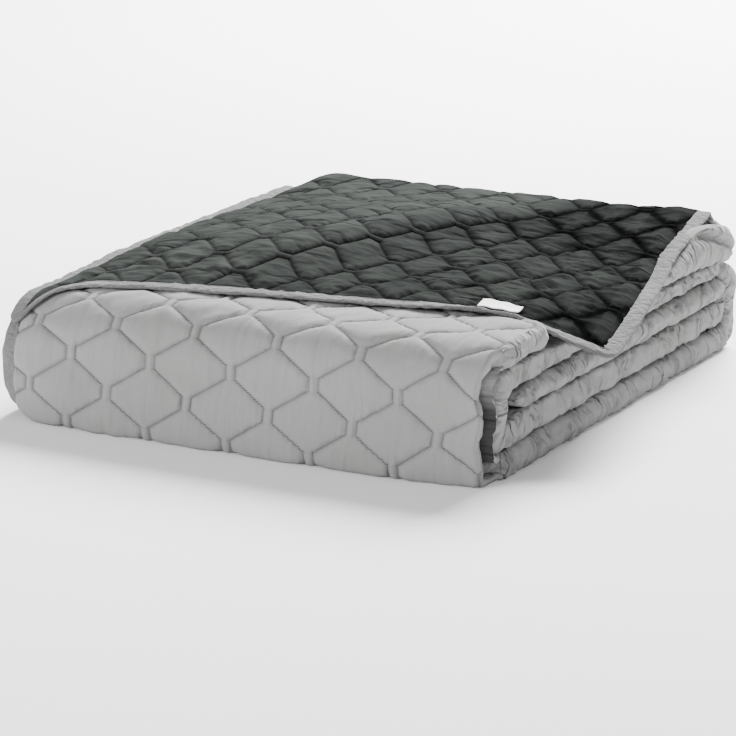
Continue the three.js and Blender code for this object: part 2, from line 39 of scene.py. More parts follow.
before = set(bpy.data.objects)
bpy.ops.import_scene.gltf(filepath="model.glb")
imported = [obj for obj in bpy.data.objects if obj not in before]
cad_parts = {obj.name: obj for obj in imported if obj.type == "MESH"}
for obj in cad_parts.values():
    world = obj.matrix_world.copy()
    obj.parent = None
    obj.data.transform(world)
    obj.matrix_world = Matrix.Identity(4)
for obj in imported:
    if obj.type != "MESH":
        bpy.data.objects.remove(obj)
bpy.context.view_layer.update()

# Driving sizes of the pack. A pair is for left and right, and LEFT_TAPE_RISE for front and rear.
HALF_WIDTH = 227
FRONT_Y = -257
BACK_Y = 257
PLY_PITCH = 5.1
PLY_THICKNESS = 3.4
HALF_PLY = PLY_THICKNESS / 2
PLIES = 4
ROLL_PITCH = PLIES * PLY_PITCH
LAYERS = 5
ROLL_TOP = LAYERS * ROLL_PITCH
FRONT_TURN_Y = FRONT_Y + ROLL_TOP / 2
BACK_TURN_Y = BACK_Y - (LAYERS - 1) / 2 * ROLL_PITCH
INNER_END_Y = FRONT_TURN_Y + 12
TOP_END_Y = 226
STRIP_END_Y = 254
INNER_PLY = 0.5 * PLY_PITCH
OUTER_PLY = 1.5 * PLY_PITCH
OUTER_FACE = OUTER_PLY + HALF_PLY
FLOOR_SHIFT = ROLL_PITCH / 2 - OUTER_FACE

# The pack's rounding, and the sinking of its top at the rear and along its right rim
LEFT_RISE_POWER = 8
FRONT_LOW_POWER = (2.6, 12)
FRONT_LEFT_ZONE = (-HALF_WIDTH - 6, -HALF_WIDTH + 55)
FRONT_TOP_POWER = (2.0, 2.9)
FRONT_BELLY = 9
REAR_ZONE = (TOP_END_Y - 75, TOP_END_Y)
TOP_SINK = (17, 9.5)
RIGHT_ZONE = (60, 200)
RIM_SINK = 12
RIM_PATCH = ((80, 222), (-150, -118), (165, 60))

# Heights of the creases between the layers at the front right, the back right and the left
CREASES = [(0, 0, 0), (25, 23, 20), (49, 46, 40), (69, 70, 60), (91, 84, 79), (111, 114, 98)]

# The folds on the right: each layer's reach, their waves as length, size and phase, and the pocket
# under the hanging corner
FOLD_REACH = [0, -5, -1, -6, 0]
FOLD_WAVES = [(60, 0.7, 0.0), (83, 0.5, 1.3)]
POCKET = 36
POCKET_PATCH = ((3.3, 3.7), (-154, -126), (-40, -90))

# The open right end of the front wrap
WRAP_LOW_ZONE = (0.1 * ROLL_TOP, 0.22 * ROLL_TOP)
WRAP_HIGH_ZONE = (0.9 * ROLL_TOP, 0.78 * ROLL_TOP)
FOLD_HOLLOW = 36
LOBE_BEYOND = 6
LIP_WAVE = 3
LIP_INSET = 3.5

# The top layer's rear end, and its swelling into the mouth of the rear loop
NOSE_LENGTH = 21
NOSE_SAG = 7.5
NOSE_SAG_START_Y = 205
CHEEK = 15
CHEEK_OUT = 5
CHEEK_CREASE = 11
CHEEK_PATCH = ((178, 212), (140, 195), (256, 226))

# Edge tape
TAPE_WIDTH = 13.5
TAPE_BEYOND = 4.2
TAPE_SOLID_THICKNESS = 4.2
TAPE_THICKNESS = 3
TAPE_OVERLAP = 1.6
TAPE_GAP = 0.3
CLOTH_LEFT = -HALF_WIDTH + TAPE_WIDTH + TAPE_GAP - TAPE_BEYOND
FOLD_LEFT = -HALF_WIDTH + 6
FOLD_X = HALF_WIDTH - OUTER_FACE

# Quilting: mirrored trapezoid waves, with half a neck's and half a belly's width, and with straights
# up to LOW and slants up to HIGH
WAVE_PITCH = 76.8
WAVE_PERIOD = 60
HALF_PITCH = WAVE_PITCH / 2
HALF_PERIOD = WAVE_PERIOD / 2
NARROW = 4.5
WIDE = HALF_PITCH - NARROW
LOW = 5.5
HIGH = HALF_PERIOD - LOW
WAVE_START_X = 30
FRONT_NECK_HEIGHT = 95
STITCH = 2.9
PILLOW_EDGE = 2.6
PILLOW_REACH = 22
QUILT_HEIGHT = 2.6
FOLD_QUILT_HEIGHT = 0.5
PANEL_WRINKLE = 0.36
FOLD_STRAY = 9

# The turned-back ply
FLAP_WIDTH = 470
FLAP_LENGTH = 388
FLAP_LENGTH_ZONE = 150
FLAP_BACK_RIGHT = 197
FLAP_CORNER_RIGHT = 260
RIGHT_EDGE_POWER = 1.05
RIGHT_EDGE_NOTCH = 8
NOTCH_PLACE = 0.4
NOTCH_WIDTH = 0.22
FRONT_EDGE_Y = (-202.5, -117)
FRONT_BOW = 7
CORNER_PULL = 36
CORNER_PART = 0.11
FLAP_LIFT = 1.2
FLAP_LIFT_FRONT = (1.6, 0.8)
FLAP_LIFT_ZONE = 70
SHOULDER_X = 188
DROOP = 0.3
DROOP_BEND = 16
DROOP_AT_REAR = 0.2
DROOP_REAR_ZONE = (-120, 60)
LEFT_EDGE_ZONE = 55
LEFT_EDGE_X = -190
LEFT_EDGE_DROP = 0.003
LEFT_TAPE_RISE = (-0.15, 0.2)
LEFT_TAPE_ZONE = (-190, -50)

# Its soft ridge, steep on the right
RIDGE_HEIGHT = 18
RIDGE_FRONT_X, RIDGE_FRONT_Y = -75.0, -150.0
RIDGE_BACK_X, RIDGE_BACK_Y = 60.0, 220.0
RIDGE_WIDTHS = (190, 42)
RIDGE_FRONT_ZONE = (-195, -60)
RIDGE_REAR_ZONE = (50, 215)
RIDGE_AT_REAR = 0.15

# Its loop at the rear, which widens between two angles
LOOP_REACH = 18
LOOP_UNDER = 11
LOOP_RIGHT = 218
LOOP_RISE = (18.0, 17.1)
LOOP_RISE_ZONE = (100, 200)
LOOP_FULLNESS = 1.9
LOOP_WIDENING = (1.35, -0.6)
LOOP_CLOTH_RADIUS = 17
LOOP_ROWS = 16
TUCKED_ROWS = (4.0, 16.0)

# Its quilting: one neck's place, the direction its waves run in, and its wrinkles
FLAP_NECK = (125.0, -69.0)
FLAP_TURN = math.radians(11.8)
FLAP_WAVE_PERIOD = 57
FLAP_QUILT_HEIGHT = 3.9
FLAP_WRINKLE = (1.0, 1.9)
FLAP_CREST = (0.35, 1.9)
FLAP_CREST_FRONT = 1.3

# Blank woven tag
TAG_LENGTH = 33
TAG_WIDTH = 12
TAG_THICKNESS = 0.8
TAG_X = 174
TAG_OVER_TAPE = 3.5
TAG_REST = 2.4
TAG_RISE = 6.5

# How finely the cloth is drawn
RING_STEP = 4.6
FINE_RING_STEP = 2.1
FINE_COLUMNS = 210
FLAP_GRID = (224, 184)
TOP_QUILTING_END_Y = -95


def pack_shift():
    """From the pack's own frame to the row frame, in millimetres."""
    low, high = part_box("edge_tape_outer_ply")
    tape_back = BACK_TURN_Y + 1.5 * ROLL_PITCH + OUTER_PLY + TAPE_SOLID_THICKNESS / 2
    return np.array([low.x * 1000 + HALF_WIDTH, high.y * 1000 - tape_back, 0.0])


SHIFT = pack_shift()


def smooth(value, start, end):
    """From 0 at start to 1 at end, which may be the lower of the two."""
    t = np.clip((value - start) / (end - start), 0, 1)
    return t * t * (3 - 2 * t)


def in_patch(across, y, zones):
    first, front, rear = zones
    return smooth(across, *first) * smooth(y, *front) * smooth(y, *rear)


def lerp(a, b, t):
    return a + (b - a) * t


def unit(vectors):
    return vectors / np.linalg.norm(vectors, axis=-1, keepdims=True)


def value_noise(seed):
    """Smooth noise from 0 to 1 over a plane, the same on every run."""
    table = np.random.RandomState(seed).rand(64, 64)

    def sample(a, b):
        a, b = np.broadcast_arrays(a, b)
        i, j = np.floor(a).astype(int), np.floor(b).astype(int)
        t = smooth(a - i, 0, 1)
        near, far = [lerp(table[i % 64, k % 64], table[(i + 1) % 64, k % 64], t) for k in (j, j + 1)]
        return lerp(near, far, smooth(b - j, 0, 1))

    return sample


CELL_TABLE = np.random.RandomState(5).rand(64, 64)
WRINKLE = value_noise(11)
PUCKER = value_noise(23)
SWAY = value_noise(37)


# The pack's true shape: an ideal flat roll is bent by this map

def top_sink(x, y, rise):
    sink = lerp(*TOP_SINK, smooth(x, *RIGHT_ZONE)) * rise
    return RIM_SINK * in_patch(x, y, RIM_PATCH) + sink * smooth(y, *REAR_ZONE)


def pack_height(x, y, z):
    across = np.clip((x + HALF_WIDTH) / (2 * HALF_WIDTH), 0, 1)
    rise = 1 - (1 - across) ** LEFT_RISE_POWER
    deep = np.clip((y - FRONT_Y) / (BACK_Y - FRONT_Y), 0, 1)
    heights = [lerp(left, lerp(front, back, deep), rise) for front, back, left in CREASES]
    heights[LAYERS] = heights[LAYERS] - top_sink(x, y, rise)
    heights = np.stack(np.broadcast_arrays(*heights))
    level = z / ROLL_PITCH
    lower = np.clip(np.floor(level), 0, LAYERS - 1).astype(int)
    below = np.take_along_axis(heights, lower[None], 0)[0]
    above = np.take_along_axis(heights, lower[None] + 1, 0)[0]
    layered = lerp(below, above, level - lower)
    even = heights[LAYERS] * level / LAYERS
    at_turn = smooth(y, FRONT_TURN_Y + ROLL_PITCH, FRONT_TURN_Y - ROLL_PITCH / 2)
    return lerp(layered, even, at_turn)


def front_swell(x, y, z):
    """Fills the round front turn out towards a box with a low belly."""
    back = FRONT_TURN_Y - y
    up = z - ROLL_TOP / 2
    angle = np.arctan2(up, np.maximum(back, 1e-6))
    across = smooth(x, -HALF_WIDTH, 0.4 * HALF_WIDTH)
    foot = lerp(*FRONT_LOW_POWER, smooth(x, *FRONT_LEFT_ZONE))
    power = np.where(up < 0, foot, lerp(*FRONT_TOP_POWER, across))
    grow = (np.abs(np.cos(angle)) ** power + np.abs(np.sin(angle)) ** power) ** (-1 / power)
    ends = smooth(x, -HALF_WIDTH, -0.8 * HALF_WIDTH) * smooth(x, 0.95 * HALF_WIDTH, 0.6 * HALF_WIDTH)
    low = smooth(up, ROLL_PITCH / 2, -1.5 * ROLL_PITCH) * smooth(back, 0, 1.5 * ROLL_PITCH)
    swelled_y = FRONT_TURN_Y - back * grow - FRONT_BELLY * ends * low
    swelled_z = ROLL_TOP / 2 + up * grow
    return np.where(back > 0, swelled_y, y), np.where(back > 0, swelled_z, z)


def bend(x, y, z, along):
    """Points of the pack for places in the flat roll."""
    x, y, z, along = np.broadcast_arrays(x, y, z, along)
    y, z = front_swell(x, y, z)
    height = pack_height(x, y, z)
    level = np.clip(z / ROLL_PITCH - 0.5, 0, LAYERS - 1)
    near_folds = np.clip((x - 0.3 * HALF_WIDTH) / (0.7 * HALF_WIDTH), 0, 1) ** 2
    reach = np.interp(level, range(LAYERS), FOLD_REACH)
    pocket = in_patch(level, y, POCKET_PATCH)
    wander = sum(size * np.sin(along * 2 * math.pi / length + phase) for length, size, phase in FOLD_WAVES)
    x = x + near_folds * (reach - POCKET * pocket + wander)
    return np.stack([x, y, np.maximum(height, 0)], -1)


def top_surface(x, y):
    return bend(x, y, ROLL_TOP - FLOOR_SHIFT, 0.0)[..., 2]


# Quilting: seams, cells and relief

def seam_distance(u, v):
    """u and v are places across and along the waves in millimetres, with a neck at (0, 0)."""
    a = np.abs((u + HALF_PITCH) % WAVE_PITCH - HALF_PITCH)
    b = np.abs((v + HALF_PERIOD) % WAVE_PERIOD - HALF_PERIOD)
    corners = [(NARROW, -LOW), (NARROW, LOW), (WIDE, HIGH), (WIDE, HALF_PERIOD + LOW)]
    nearest = np.full(np.broadcast(a, b).shape, 1e3)
    for side in (a, -a, WAVE_PITCH - a):
        for (ua, va), (ub, vb) in zip(corners, corners[1:]):
            run = (ub - ua) ** 2 + (vb - va) ** 2
            t = np.clip(((side - ua) * (ub - ua) + (b - va) * (vb - va)) / run, 0, 1)
            nearest = np.minimum(nearest, np.hypot(side - ua - t * (ub - ua), b - va - t * (vb - va)))
    return nearest


def cell_chance(u, v):
    """Two random numbers for the quilting cell of each point."""
    cells = []
    for start_u, start_v, extra in ((HALF_PITCH, 0, (0, 0)), (0, HALF_PERIOD, (17, 29))):
        k = np.round((u - start_u) / WAVE_PITCH)
        m = np.round((v - start_v) / WAVE_PERIOD)
        far = np.hypot(u - start_u - k * WAVE_PITCH, v - start_v - m * WAVE_PERIOD)
        cells.append((far, k + extra[0], m + extra[1]))
    first = cells[0][0] < cells[1][0]
    k, m = [np.where(first, cells[0][i], cells[1][i]).astype(int) for i in (1, 2)]
    return CELL_TABLE[k % 64, m % 64], CELL_TABLE[(k + 31) % 64, (m + 11) % 64]


def quilt_relief(u, v, height, wrinkle):
    """A pillow in each cell, with creases across it."""
    d = seam_distance(u, v)
    dome = np.sin(np.clip(d / PILLOW_REACH, 0, 1) * math.pi / 2)
    pillow = 0.66 * (1 - np.exp(-d / PILLOW_EDGE)) + 0.34 * dome
    chance, other = cell_chance(u, v)
    turn = (chance - 0.5) * 2.0
    along = v * np.cos(turn) + u * np.sin(turn)
    across = u * np.cos(turn) - v * np.sin(turn)
    crease = WRINKLE(along / 30 + 9 * other, across / 11.5 + 40 * chance) - 0.5
    fine = PUCKER(along / 11 + 5 * chance, across / 5 + 30 * other) - 0.5
    inside = 1 - np.exp(-d / 4)
    near_seam = np.exp(-d / 6) * (1 - np.exp(-d / 1.2))
    gather = PUCKER((v * 1.4 + u * 0.4) / 4.5, u / 30) - 0.5
    return height * pillow + wrinkle * (2 * crease * inside + 0.5 * fine * inside + 0.9 * gather * near_seam)


def pinched_cloth(u, v):
    bent = v + 9 * SWAY(v / 23 + 3, u / 12)
    first = 1 - np.abs(2 * WRINKLE(bent / 8.5 + u / 21, u / 15) - 1)
    second = 1 - np.abs(2 * PUCKER(bent / 6.2 - u / 13, u / 11 + v / 60) - 1)
    return -1.5 * np.maximum(0, first - 0.7) / 0.3 - 1.1 * np.maximum(0, second - 0.7) / 0.3 + 0.5


def crest_wrinkles(u, v):
    bent = u + 8 * SWAY(v / 26 + 5, u / 30)
    first = 1 - np.abs(2 * WRINKLE(bent / 9.5 + 3, v / 34) - 1)
    second = 1 - np.abs(2 * PUCKER(bent / 7.5 + v / 30, v / 27 + 9) - 1)
    return first ** 3 + 0.8 * second ** 3 - 0.4


def cloth_uv(u, v):
    return np.stack(np.broadcast_arrays(u / WAVE_PITCH, v / WAVE_PERIOD), -1)


# Meshes

def add_object(name, data):
    added = bpy.data.objects.new(name, data)
    bpy.context.scene.collection.objects.link(added)
    return added


def make_mesh(name, points, faces, uv, material_index, materials, flip=False):
    """points are in millimetres in the pack's frame."""
    mesh = bpy.data.meshes.new(name)
    place = (np.asarray(points).reshape(-1, 3) + SHIFT) / 1000
    if flip:
        faces = [face[::-1] for face in faces]
    mesh.from_pydata(place.tolist(), [], faces)
    layer = mesh.uv_layers.new(name="cloth")
    corners = np.zeros(len(mesh.loops), dtype=np.int32)
    mesh.loops.foreach_get("vertex_index", corners)
    layer.data.foreach_set("uv", np.asarray(uv, np.float32).reshape(-1, 2)[corners].ravel())
    for material in materials:
        mesh.materials.append(material)
    mesh.polygons.foreach_set("material_index", np.asarray(material_index, np.int32))
    mesh.polygons.foreach_set("use_smooth", np.ones(len(faces), bool))
    mesh.update()
    return add_object(name, mesh)


def signed_volume(points, faces):
    total = 0.0
    for size in (3, 4):
        chosen = np.array([face for face in faces if len(face) == size], int)
        corners = points[chosen.reshape(-1, size)]
        for k in range(1, size - 1):
            total += np.einsum("ij,ij->i", corners[:, 0], np.cross(corners[:, k], corners[:, k + 1])).sum()
    return total / 6


def slab(name, upper, lower, uv, materials, under_index=1):
    """A closed sheet between two grids of points."""
    rows, columns = upper.shape[:2]
    points = np.r_[upper.reshape(-1, 3), lower.reshape(-1, 3)]
    low = rows * columns
    at = np.arange(low).reshape(rows, columns)
    quads = np.stack([at[:-1, :-1], at[:-1, 1:], at[1:, 1:], at[1:, :-1]], -1).reshape(-1, 4)
    rim = np.r_[at[0, :-1], at[:-1, -1], at[-1, :0:-1], at[:0:-1, 0]]
    after = np.roll(rim, -1)
    sides = np.stack([after, rim, rim + low, after + low], -1)
    faces = np.r_[quads, quads[:, ::-1] + low, sides].tolist()
    index = np.r_[np.zeros(len(quads)), np.full(len(quads) + len(sides), under_index)]
    flip = signed_volume(points, faces) < 0
    both = np.concatenate([uv, uv])
    return make_mesh(name, points, faces, both, index, materials, flip)


def sweep(name, rings, uv, materials):
    """A closed band from rings of points."""
    count, around = rings.shape[:2]
    points = rings.reshape(-1, 3)
    at = np.arange(count * around).reshape(count, around)
    turned = np.roll(at, -1, axis=1)
    quads = np.stack([at[:-1], turned[:-1], turned[1:], at[1:]], -1).reshape(-1, 4).tolist()
    faces = quads + [at[0, ::-1].tolist(), at[-1].tolist()]
    flip = signed_volume(points, quads) < 0
    return make_mesh(name, points, faces, uv, np.zeros(len(faces)), materials, flip)


def zipper(near, far, near_t, far_t):
    """Triangles between two lines of points, matched by their places t."""
    faces = []
    i = j = 0
    while i + 1 < len(near) or j + 1 < len(far):
        if j + 1 == len(far) or (i + 1 < len(near) and near_t[i + 1] <= far_t[j + 1]):
            faces.append([int(near[i]), int(near[i + 1]), int(far[j])])
            i += 1
        else:
            faces.append([int(near[i]), int(far[j + 1]), int(far[j])])
            j += 1
    return faces


# The strip: four plies as one back-and-forth section, swept along the flat roll.
# A run has its layer, start and end. A turn has its side and its radius in layers.

ROUTE = [
    ("run", 2, INNER_END_Y, BACK_TURN_Y),
    ("turn", "back", 0.5),
    ("run", 1, BACK_TURN_Y, FRONT_TURN_Y),
    ("turn", "front", 1.0),
    ("run", 3, FRONT_TURN_Y, BACK_TURN_Y),
    ("turn", "back", 1.5),
    ("run", 0, BACK_TURN_Y, FRONT_TURN_Y),
    ("turn", "front", 2.0),
    ("run", 4, FRONT_TURN_Y, STRIP_END_Y),
]
OUTER_TURNS = (5, 7)
FRONT_WRAP = 7
TOP_RUN = 8
RING_NAMES = ("y", "z", "out_y", "out_z", "along", "fine", "hollow", "top")


def route_piece(piece, t):
    """Places along one run or turn: y, z, and the outward direction."""
    if piece[0] == "run":
        _, layer, start, end = piece
        forward = math.copysign(1, end - start)
        return lerp(start, end, t), (layer + 0.5) * ROLL_PITCH + 0 * t, 0 * t, forward + 0 * t
    _, side, radius = piece
    at = BACK_TURN_Y if side == "back" else FRONT_TURN_Y
    height = (ROLL_TOP - ROLL_PITCH) / 2 if side == "back" else ROLL_TOP / 2
    angle = (math.pi / 2 if side == "back" else -math.pi / 2) - math.pi * t
    reach = radius * ROLL_PITCH
    return at + reach * np.cos(angle), height + reach * np.sin(angle), np.cos(angle), np.sin(angle)


def nose_size(from_end):
    """How much of the strip's thickness is left so far from its rounded end."""
    return np.sqrt(1 - np.clip(1 - from_end / NOSE_LENGTH, 0, 0.995) ** 2)


def nose_sag(y):
    return NOSE_SAG * smooth(y, NOSE_SAG_START_Y, STRIP_END_Y)


def strip_rings():
    parts = []
    travelled = 0.0
    for number, piece in enumerate(ROUTE):
        run = piece[0] == "run"
        outer = number in OUTER_TURNS
        length = abs(piece[3] - piece[2]) if run else math.pi * piece[2] * ROLL_PITCH
        drawn = length if run else length + math.pi * OUTER_FACE
        steps = max(4, round(drawn / (FINE_RING_STEP if outer else RING_STEP)))
        t = np.linspace(0, 1, steps + 1)[min(number, 1):]
        y, z, out_y, out_z = route_piece(piece, t)
        fine = y < TOP_QUILTING_END_Y if number == TOP_RUN else np.full(len(t), outer)
        hollow = smooth(z, *WRAP_LOW_ZONE) * smooth(z, *WRAP_HIGH_ZONE) * (number == FRONT_WRAP)
        top = 0 * t + (number == TOP_RUN)
        parts.append((y, z, out_y, out_z, travelled + t * length, fine, hollow, top))
        travelled += length
    rings = {name: np.concatenate(values)[:, None] for name, values in zip(RING_NAMES, zip(*parts))}
    along = rings["along"]
    rings["nose"] = nose_size(np.minimum(along[-1] - along, along))
    rings["face"] = face_lengths(rings)
    return rings


def face_lengths(rings):
    """Length along the outermost face, from a neck of the quilting on."""
    middle = place_on_strip(rings, np.zeros(1), np.full(1, OUTER_FACE))[:, 0]
    steps = np.linalg.norm(np.diff(middle, axis=0), axis=1)
    face = np.r_[[0], np.cumsum(steps)]
    wrap = (rings["out_y"] < -0.3) & (rings["along"] > rings["along"][-1] - 700)
    level = np.argmin(np.where(wrap[:, 0], np.abs(middle[:, 2] - FRONT_NECK_HEIGHT), 1e3))
    return (face - face[level])[:, None]


def place_on_strip(rings, x, out):
    """Points for places in the strip's section, one row for each ring."""
    x = np.atleast_2d(x)
    out = np.atleast_2d(out) * rings["nose"]
    x = np.where(x > FOLD_X, FOLD_X + (x - FOLD_X) * rings["nose"], x)
    y = rings["y"] + rings["out_y"] * out
    z = rings["z"] + rings["out_z"] * out - FLOOR_SHIFT
    return bend(x, y, z, rings["along"])


def ply(out, start, end, facing, columns):
    """One ply of the section: x, out, face direction and fold weight."""
    inner = sorted((c for c in columns if min(start, end) < c < max(start, end)), reverse=start > end)
    return [(value, out, 0.0, facing, 0.0) for value in (start, *inner, end)]


def fold(centre_x, centre_out, radius, start, sweep_angle, steps, open_side):
    """One fold of the section. A fold on the open side has a weight."""
    points = []
    facing = math.copysign(1, -sweep_angle)
    for step in range(1, steps):
        angle = start + sweep_angle * step / steps
        c, s = math.cos(angle), math.sin(angle)
        weight = max(c, 0) if open_side else 0.0
        points.append((centre_x + radius * c, centre_out + radius * s, facing * c, facing * s, weight))
    return points


def strip_section(detail):
    """The section's line as columns of x, out, face direction, fold weight, and cloth width u."""
    hidden = [-170, -20, 110]
    rough = hidden if detail == "hidden" else hidden + list(np.arange(150, FOLD_X - 4, 7.5))
    face = list(np.linspace(CLOTH_LEFT, FOLD_X, FINE_COLUMNS)[1:-1]) if detail == "fine" else rough
    left_centre = FOLD_LEFT + INNER_PLY
    half = math.pi / 2
    line = np.array([
        *ply(OUTER_PLY, CLOTH_LEFT, FOLD_X, 1.0, face),
        *fold(FOLD_X, 0, OUTER_PLY, half, -math.pi, 16, True),
        *ply(-OUTER_PLY, FOLD_X, left_centre, -1.0, rough),
        *fold(left_centre, -PLY_PITCH, INNER_PLY, -half, -math.pi, 6, False),
        *ply(-INNER_PLY, left_centre, FOLD_X, 1.0, hidden),
        *fold(FOLD_X, 0, INNER_PLY, -half, math.pi, 6, False),
        *ply(INNER_PLY, FOLD_X, CLOTH_LEFT, -1.0, hidden),
    ])
    steps = np.hypot(*np.diff(line[:, :2], axis=0).T)
    across = CLOTH_LEFT + np.r_[[0], np.cumsum(steps)]
    return np.column_stack([line, across])


def light_relief(rings, section):
    """Cloth coordinates of the light face, and how far it stands off the plain ply."""
    x, out, _, face_out, weight, u = section.T
    v = rings["face"]
    outermost = (out > PLY_PITCH) & (face_out > 0.5)
    at_fold = smooth(weight, 0, 0.55)
    stray = FOLD_STRAY * smooth(weight, 0.05, 0.5)
    cloth_u = u + stray * (SWAY(v / 19, u / 15) - 0.5)
    cloth_v = v + stray * (SWAY(v / 17 + 13, u / 14 + 5) - 0.5)
    near_fold = smooth(x, 175, FOLD_X) * (np.abs(out) > PLY_PITCH)
    quilted = rings["fine"] & outermost
    height = np.where(quilted, QUILT_HEIGHT, FOLD_QUILT_HEIGHT * near_fold) + FOLD_QUILT_HEIGHT * at_fold
    under_flap = smooth(rings["y"] - flap_front(flap_across(x)), -2, 8)
    height = height * (1 - 0.9 * rings["top"] * outermost * under_flap)
    pillows = height * quilt_relief(cloth_u - WAVE_START_X, cloth_v, 1.0, PANEL_WRINKLE)
    calm_in_turns = 1 - 0.6 * smooth(np.abs(rings["out_y"]), 0.2, 0.8)
    calm_in_wrap = 1 - 0.9 * rings["hollow"] * smooth(weight, 0, 0.3)
    relief = calm_in_wrap * (pillows + calm_in_turns * at_fold * pinched_cloth(u, v))
    return cloth_u, cloth_v, relief


def open_wrap(rings, section):
    """The cloth's middle and its light face's direction, with the fold pulled in at the wrap."""
    x, out, face_x, face_out, weight, _ = section.T
    apart = rings["hollow"]
    inner_end = smooth(x, FOLD_X - 34, FOLD_X) * (np.abs(out) < PLY_PITCH)
    pulled = np.where(weight > 0, smooth(weight, 0.2, 0.62), inner_end)
    lobe = LOBE_BEYOND * smooth(x, 150, FOLD_X) * (out < 0)
    lips = smooth(weight, 0.0, 0.15) * (1 - smooth(weight, 0.3, 0.6))
    wave = LIP_WAVE * lips * (SWAY(rings["face"] / 5.5, out / 30 + 7) - 0.5)
    middle_x = x + apart * (lobe - FOLD_HOLLOW * pulled) + apart * wave
    run_x = np.gradient(middle_x, axis=1)
    run_out = np.gradient(out) + 0 * run_x
    run = np.maximum(np.hypot(run_x, run_out), 1e-6)
    away_x = np.where(apart > 0.01, -run_out / run, face_x)
    away_out = np.where(apart > 0.01, run_x / run, face_out)
    return middle_x, away_x, away_out


def sway_folds(points, rings, x):
    sway = smooth(x, 120, FOLD_X) * rings["nose"]
    flat = 1 - smooth(np.abs(rings["out_y"]), 0.1, 0.6)
    points[..., 0] += 1.6 * sway * (SWAY(points[..., 1] / 37, points[..., 2] / 16) - 0.5)
    off_floor = smooth(points[..., 2], 2, 20)
    lift = SWAY(points[..., 1] / 52 + 9, points[..., 2] / 30 + 5) - 0.5
    points[..., 2] += sway * flat * off_floor * lift


def rear_cheek(points, share, level):
    """Swells the top layer's right end into the mouth of the rear loop."""
    x, y = points[..., 0], points[..., 1]
    zone = share * in_patch(x, y, CHEEK_PATCH)
    crease = lerp(0.95, 0.5, smooth(y, 150, 235))
    points[..., 2] += CHEEK * zone * level
    points[..., 0] += zone * (CHEEK_OUT - CHEEK_CREASE * np.exp(-(((level - crease) / 0.11) ** 2)))


def strip_face(rings, section, side):
    """Side 1 is the light face, and -1 the dark one."""
    x, out, _, _, _, u = section.T
    middle_x, away_x, away_out = open_wrap(rings, section)
    if side > 0:
        cloth_u, cloth_v, relief = light_relief(rings, section)
        half = HALF_PLY + relief
    else:
        cloth_u, cloth_v = u, rings["face"]
        at_lip = np.minimum(1, 4 * rings["hollow"]) * (x > FOLD_X - 1)
        half = HALF_PLY * (1 - 0.85 * at_lip)
        middle_x = middle_x - LIP_INSET * at_lip
    place_out = out + side * away_out * half
    points = place_on_strip(rings, middle_x + side * away_x * half, place_out)
    sway_folds(points, rings, x)
    last = rings["along"] > rings["along"][-1] - 60
    points[..., 2] -= last * nose_sag(points[..., 1])
    rear_cheek(points, rings["top"], np.clip(place_out / OUTER_FACE, -1, 1) / 2 + 0.5)
    points[..., 2] = np.maximum(points[..., 2], 0.0)
    return points, cloth_uv(cloth_u - WAVE_START_X, cloth_v)


LIGHT, DARK, FOLDED, SHADED = range(4)


def face_materials(section, dark_count, hollow):
    weight = section[:-1, 4]
    light = np.where(weight > 0.05, FOLDED, LIGHT)
    if hollow:
        light = np.where(weight > 0.25, SHADED, light)
    return light.tolist() + [DARK] * (dark_count + 1)


def strip_loops(rings, sections, dark_section):
    """All points, their uv, and each ring's point numbers, their places round it and its kind."""
    points, uvs, rows = [], [], {}
    base = 0
    for fine, section in sections.items():
        chosen = np.flatnonzero(rings["fine"] == fine)
        group = {name: values[chosen] for name, values in rings.items()}
        light, light_uv = strip_face(group, section, 1)
        dark, dark_uv = strip_face(group, dark_section, -1)
        widths = [part[:, 5] for part in (section, dark_section)]
        light_t, dark_t = [(width - width[0]) / np.ptp(width) for width in widths]
        places = np.r_[light_t * 0.499, 1 - dark_t[::-1] * 0.499 - 0.001]
        count = len(places)
        for k, ring in enumerate(chosen):
            rows[ring] = (base + k * count + np.arange(count), places, fine)
        points.append(np.hstack([light, dark[:, ::-1]]).reshape(-1, 3))
        uvs.append(np.hstack([light_uv, dark_uv[:, ::-1]]).reshape(-1, 2))
        base += len(chosen) * count
    return np.concatenate(points), np.concatenate(uvs), rows


def join_rings(near, far, sections, dark_count, hollow):
    near_ids, near_t, near_fine = near
    far_ids, far_t, far_fine = far
    if near_fine == far_fine:
        quads = np.stack([near_ids, np.roll(near_ids, -1), np.roll(far_ids, -1), far_ids], -1)
        return quads.tolist(), face_materials(sections[near_fine], dark_count, hollow)
    lines = [np.append(ids, ids[0]) for ids in (near_ids, far_ids)]
    faces = zipper(*lines, np.append(near_t, 1), np.append(far_t, 1))
    ids = np.r_[near_ids, far_ids].tolist()
    numbers = np.where(np.r_[near_t, far_t] > 0.5, DARK, LIGHT).tolist()
    side = dict(zip(ids, numbers))
    return faces, [min(side[point] for point in face) for face in faces]


def folded_strip(materials):
    """The whole strip as one closed sheet, drawn finely where its quilting shows."""
    rings = strip_rings()
    dark_section = strip_section("hidden")
    dark_count = len(dark_section)
    sections = {False: strip_section("rough"), True: strip_section("fine")}
    points, uv, rows = strip_loops(rings, sections, dark_section)
    last = len(rings["y"]) - 1
    faces, index = [], []
    for ring in range(last):
        hollow = rings["hollow"][ring] > 0.5
        joined, numbers = join_rings(rows[ring], rows[ring + 1], sections, dark_count, hollow)
        faces += joined
        index += numbers
    for ring in (0, last):
        ids, t, _ = rows[ring]
        light, dark = ids[:-dark_count], ids[:-dark_count - 1:-1]
        cap = zipper(light, dark, t[:-dark_count], 1 - t[:-dark_count - 1:-1])
        faces += cap if ring else [face[::-1] for face in cap]
        index += [LIGHT] * len(cap)
    flip = signed_volume(points, faces) < 0
    return make_mesh("folded_panel", points, faces, uv, index, materials, flip)


# The turned-back ply

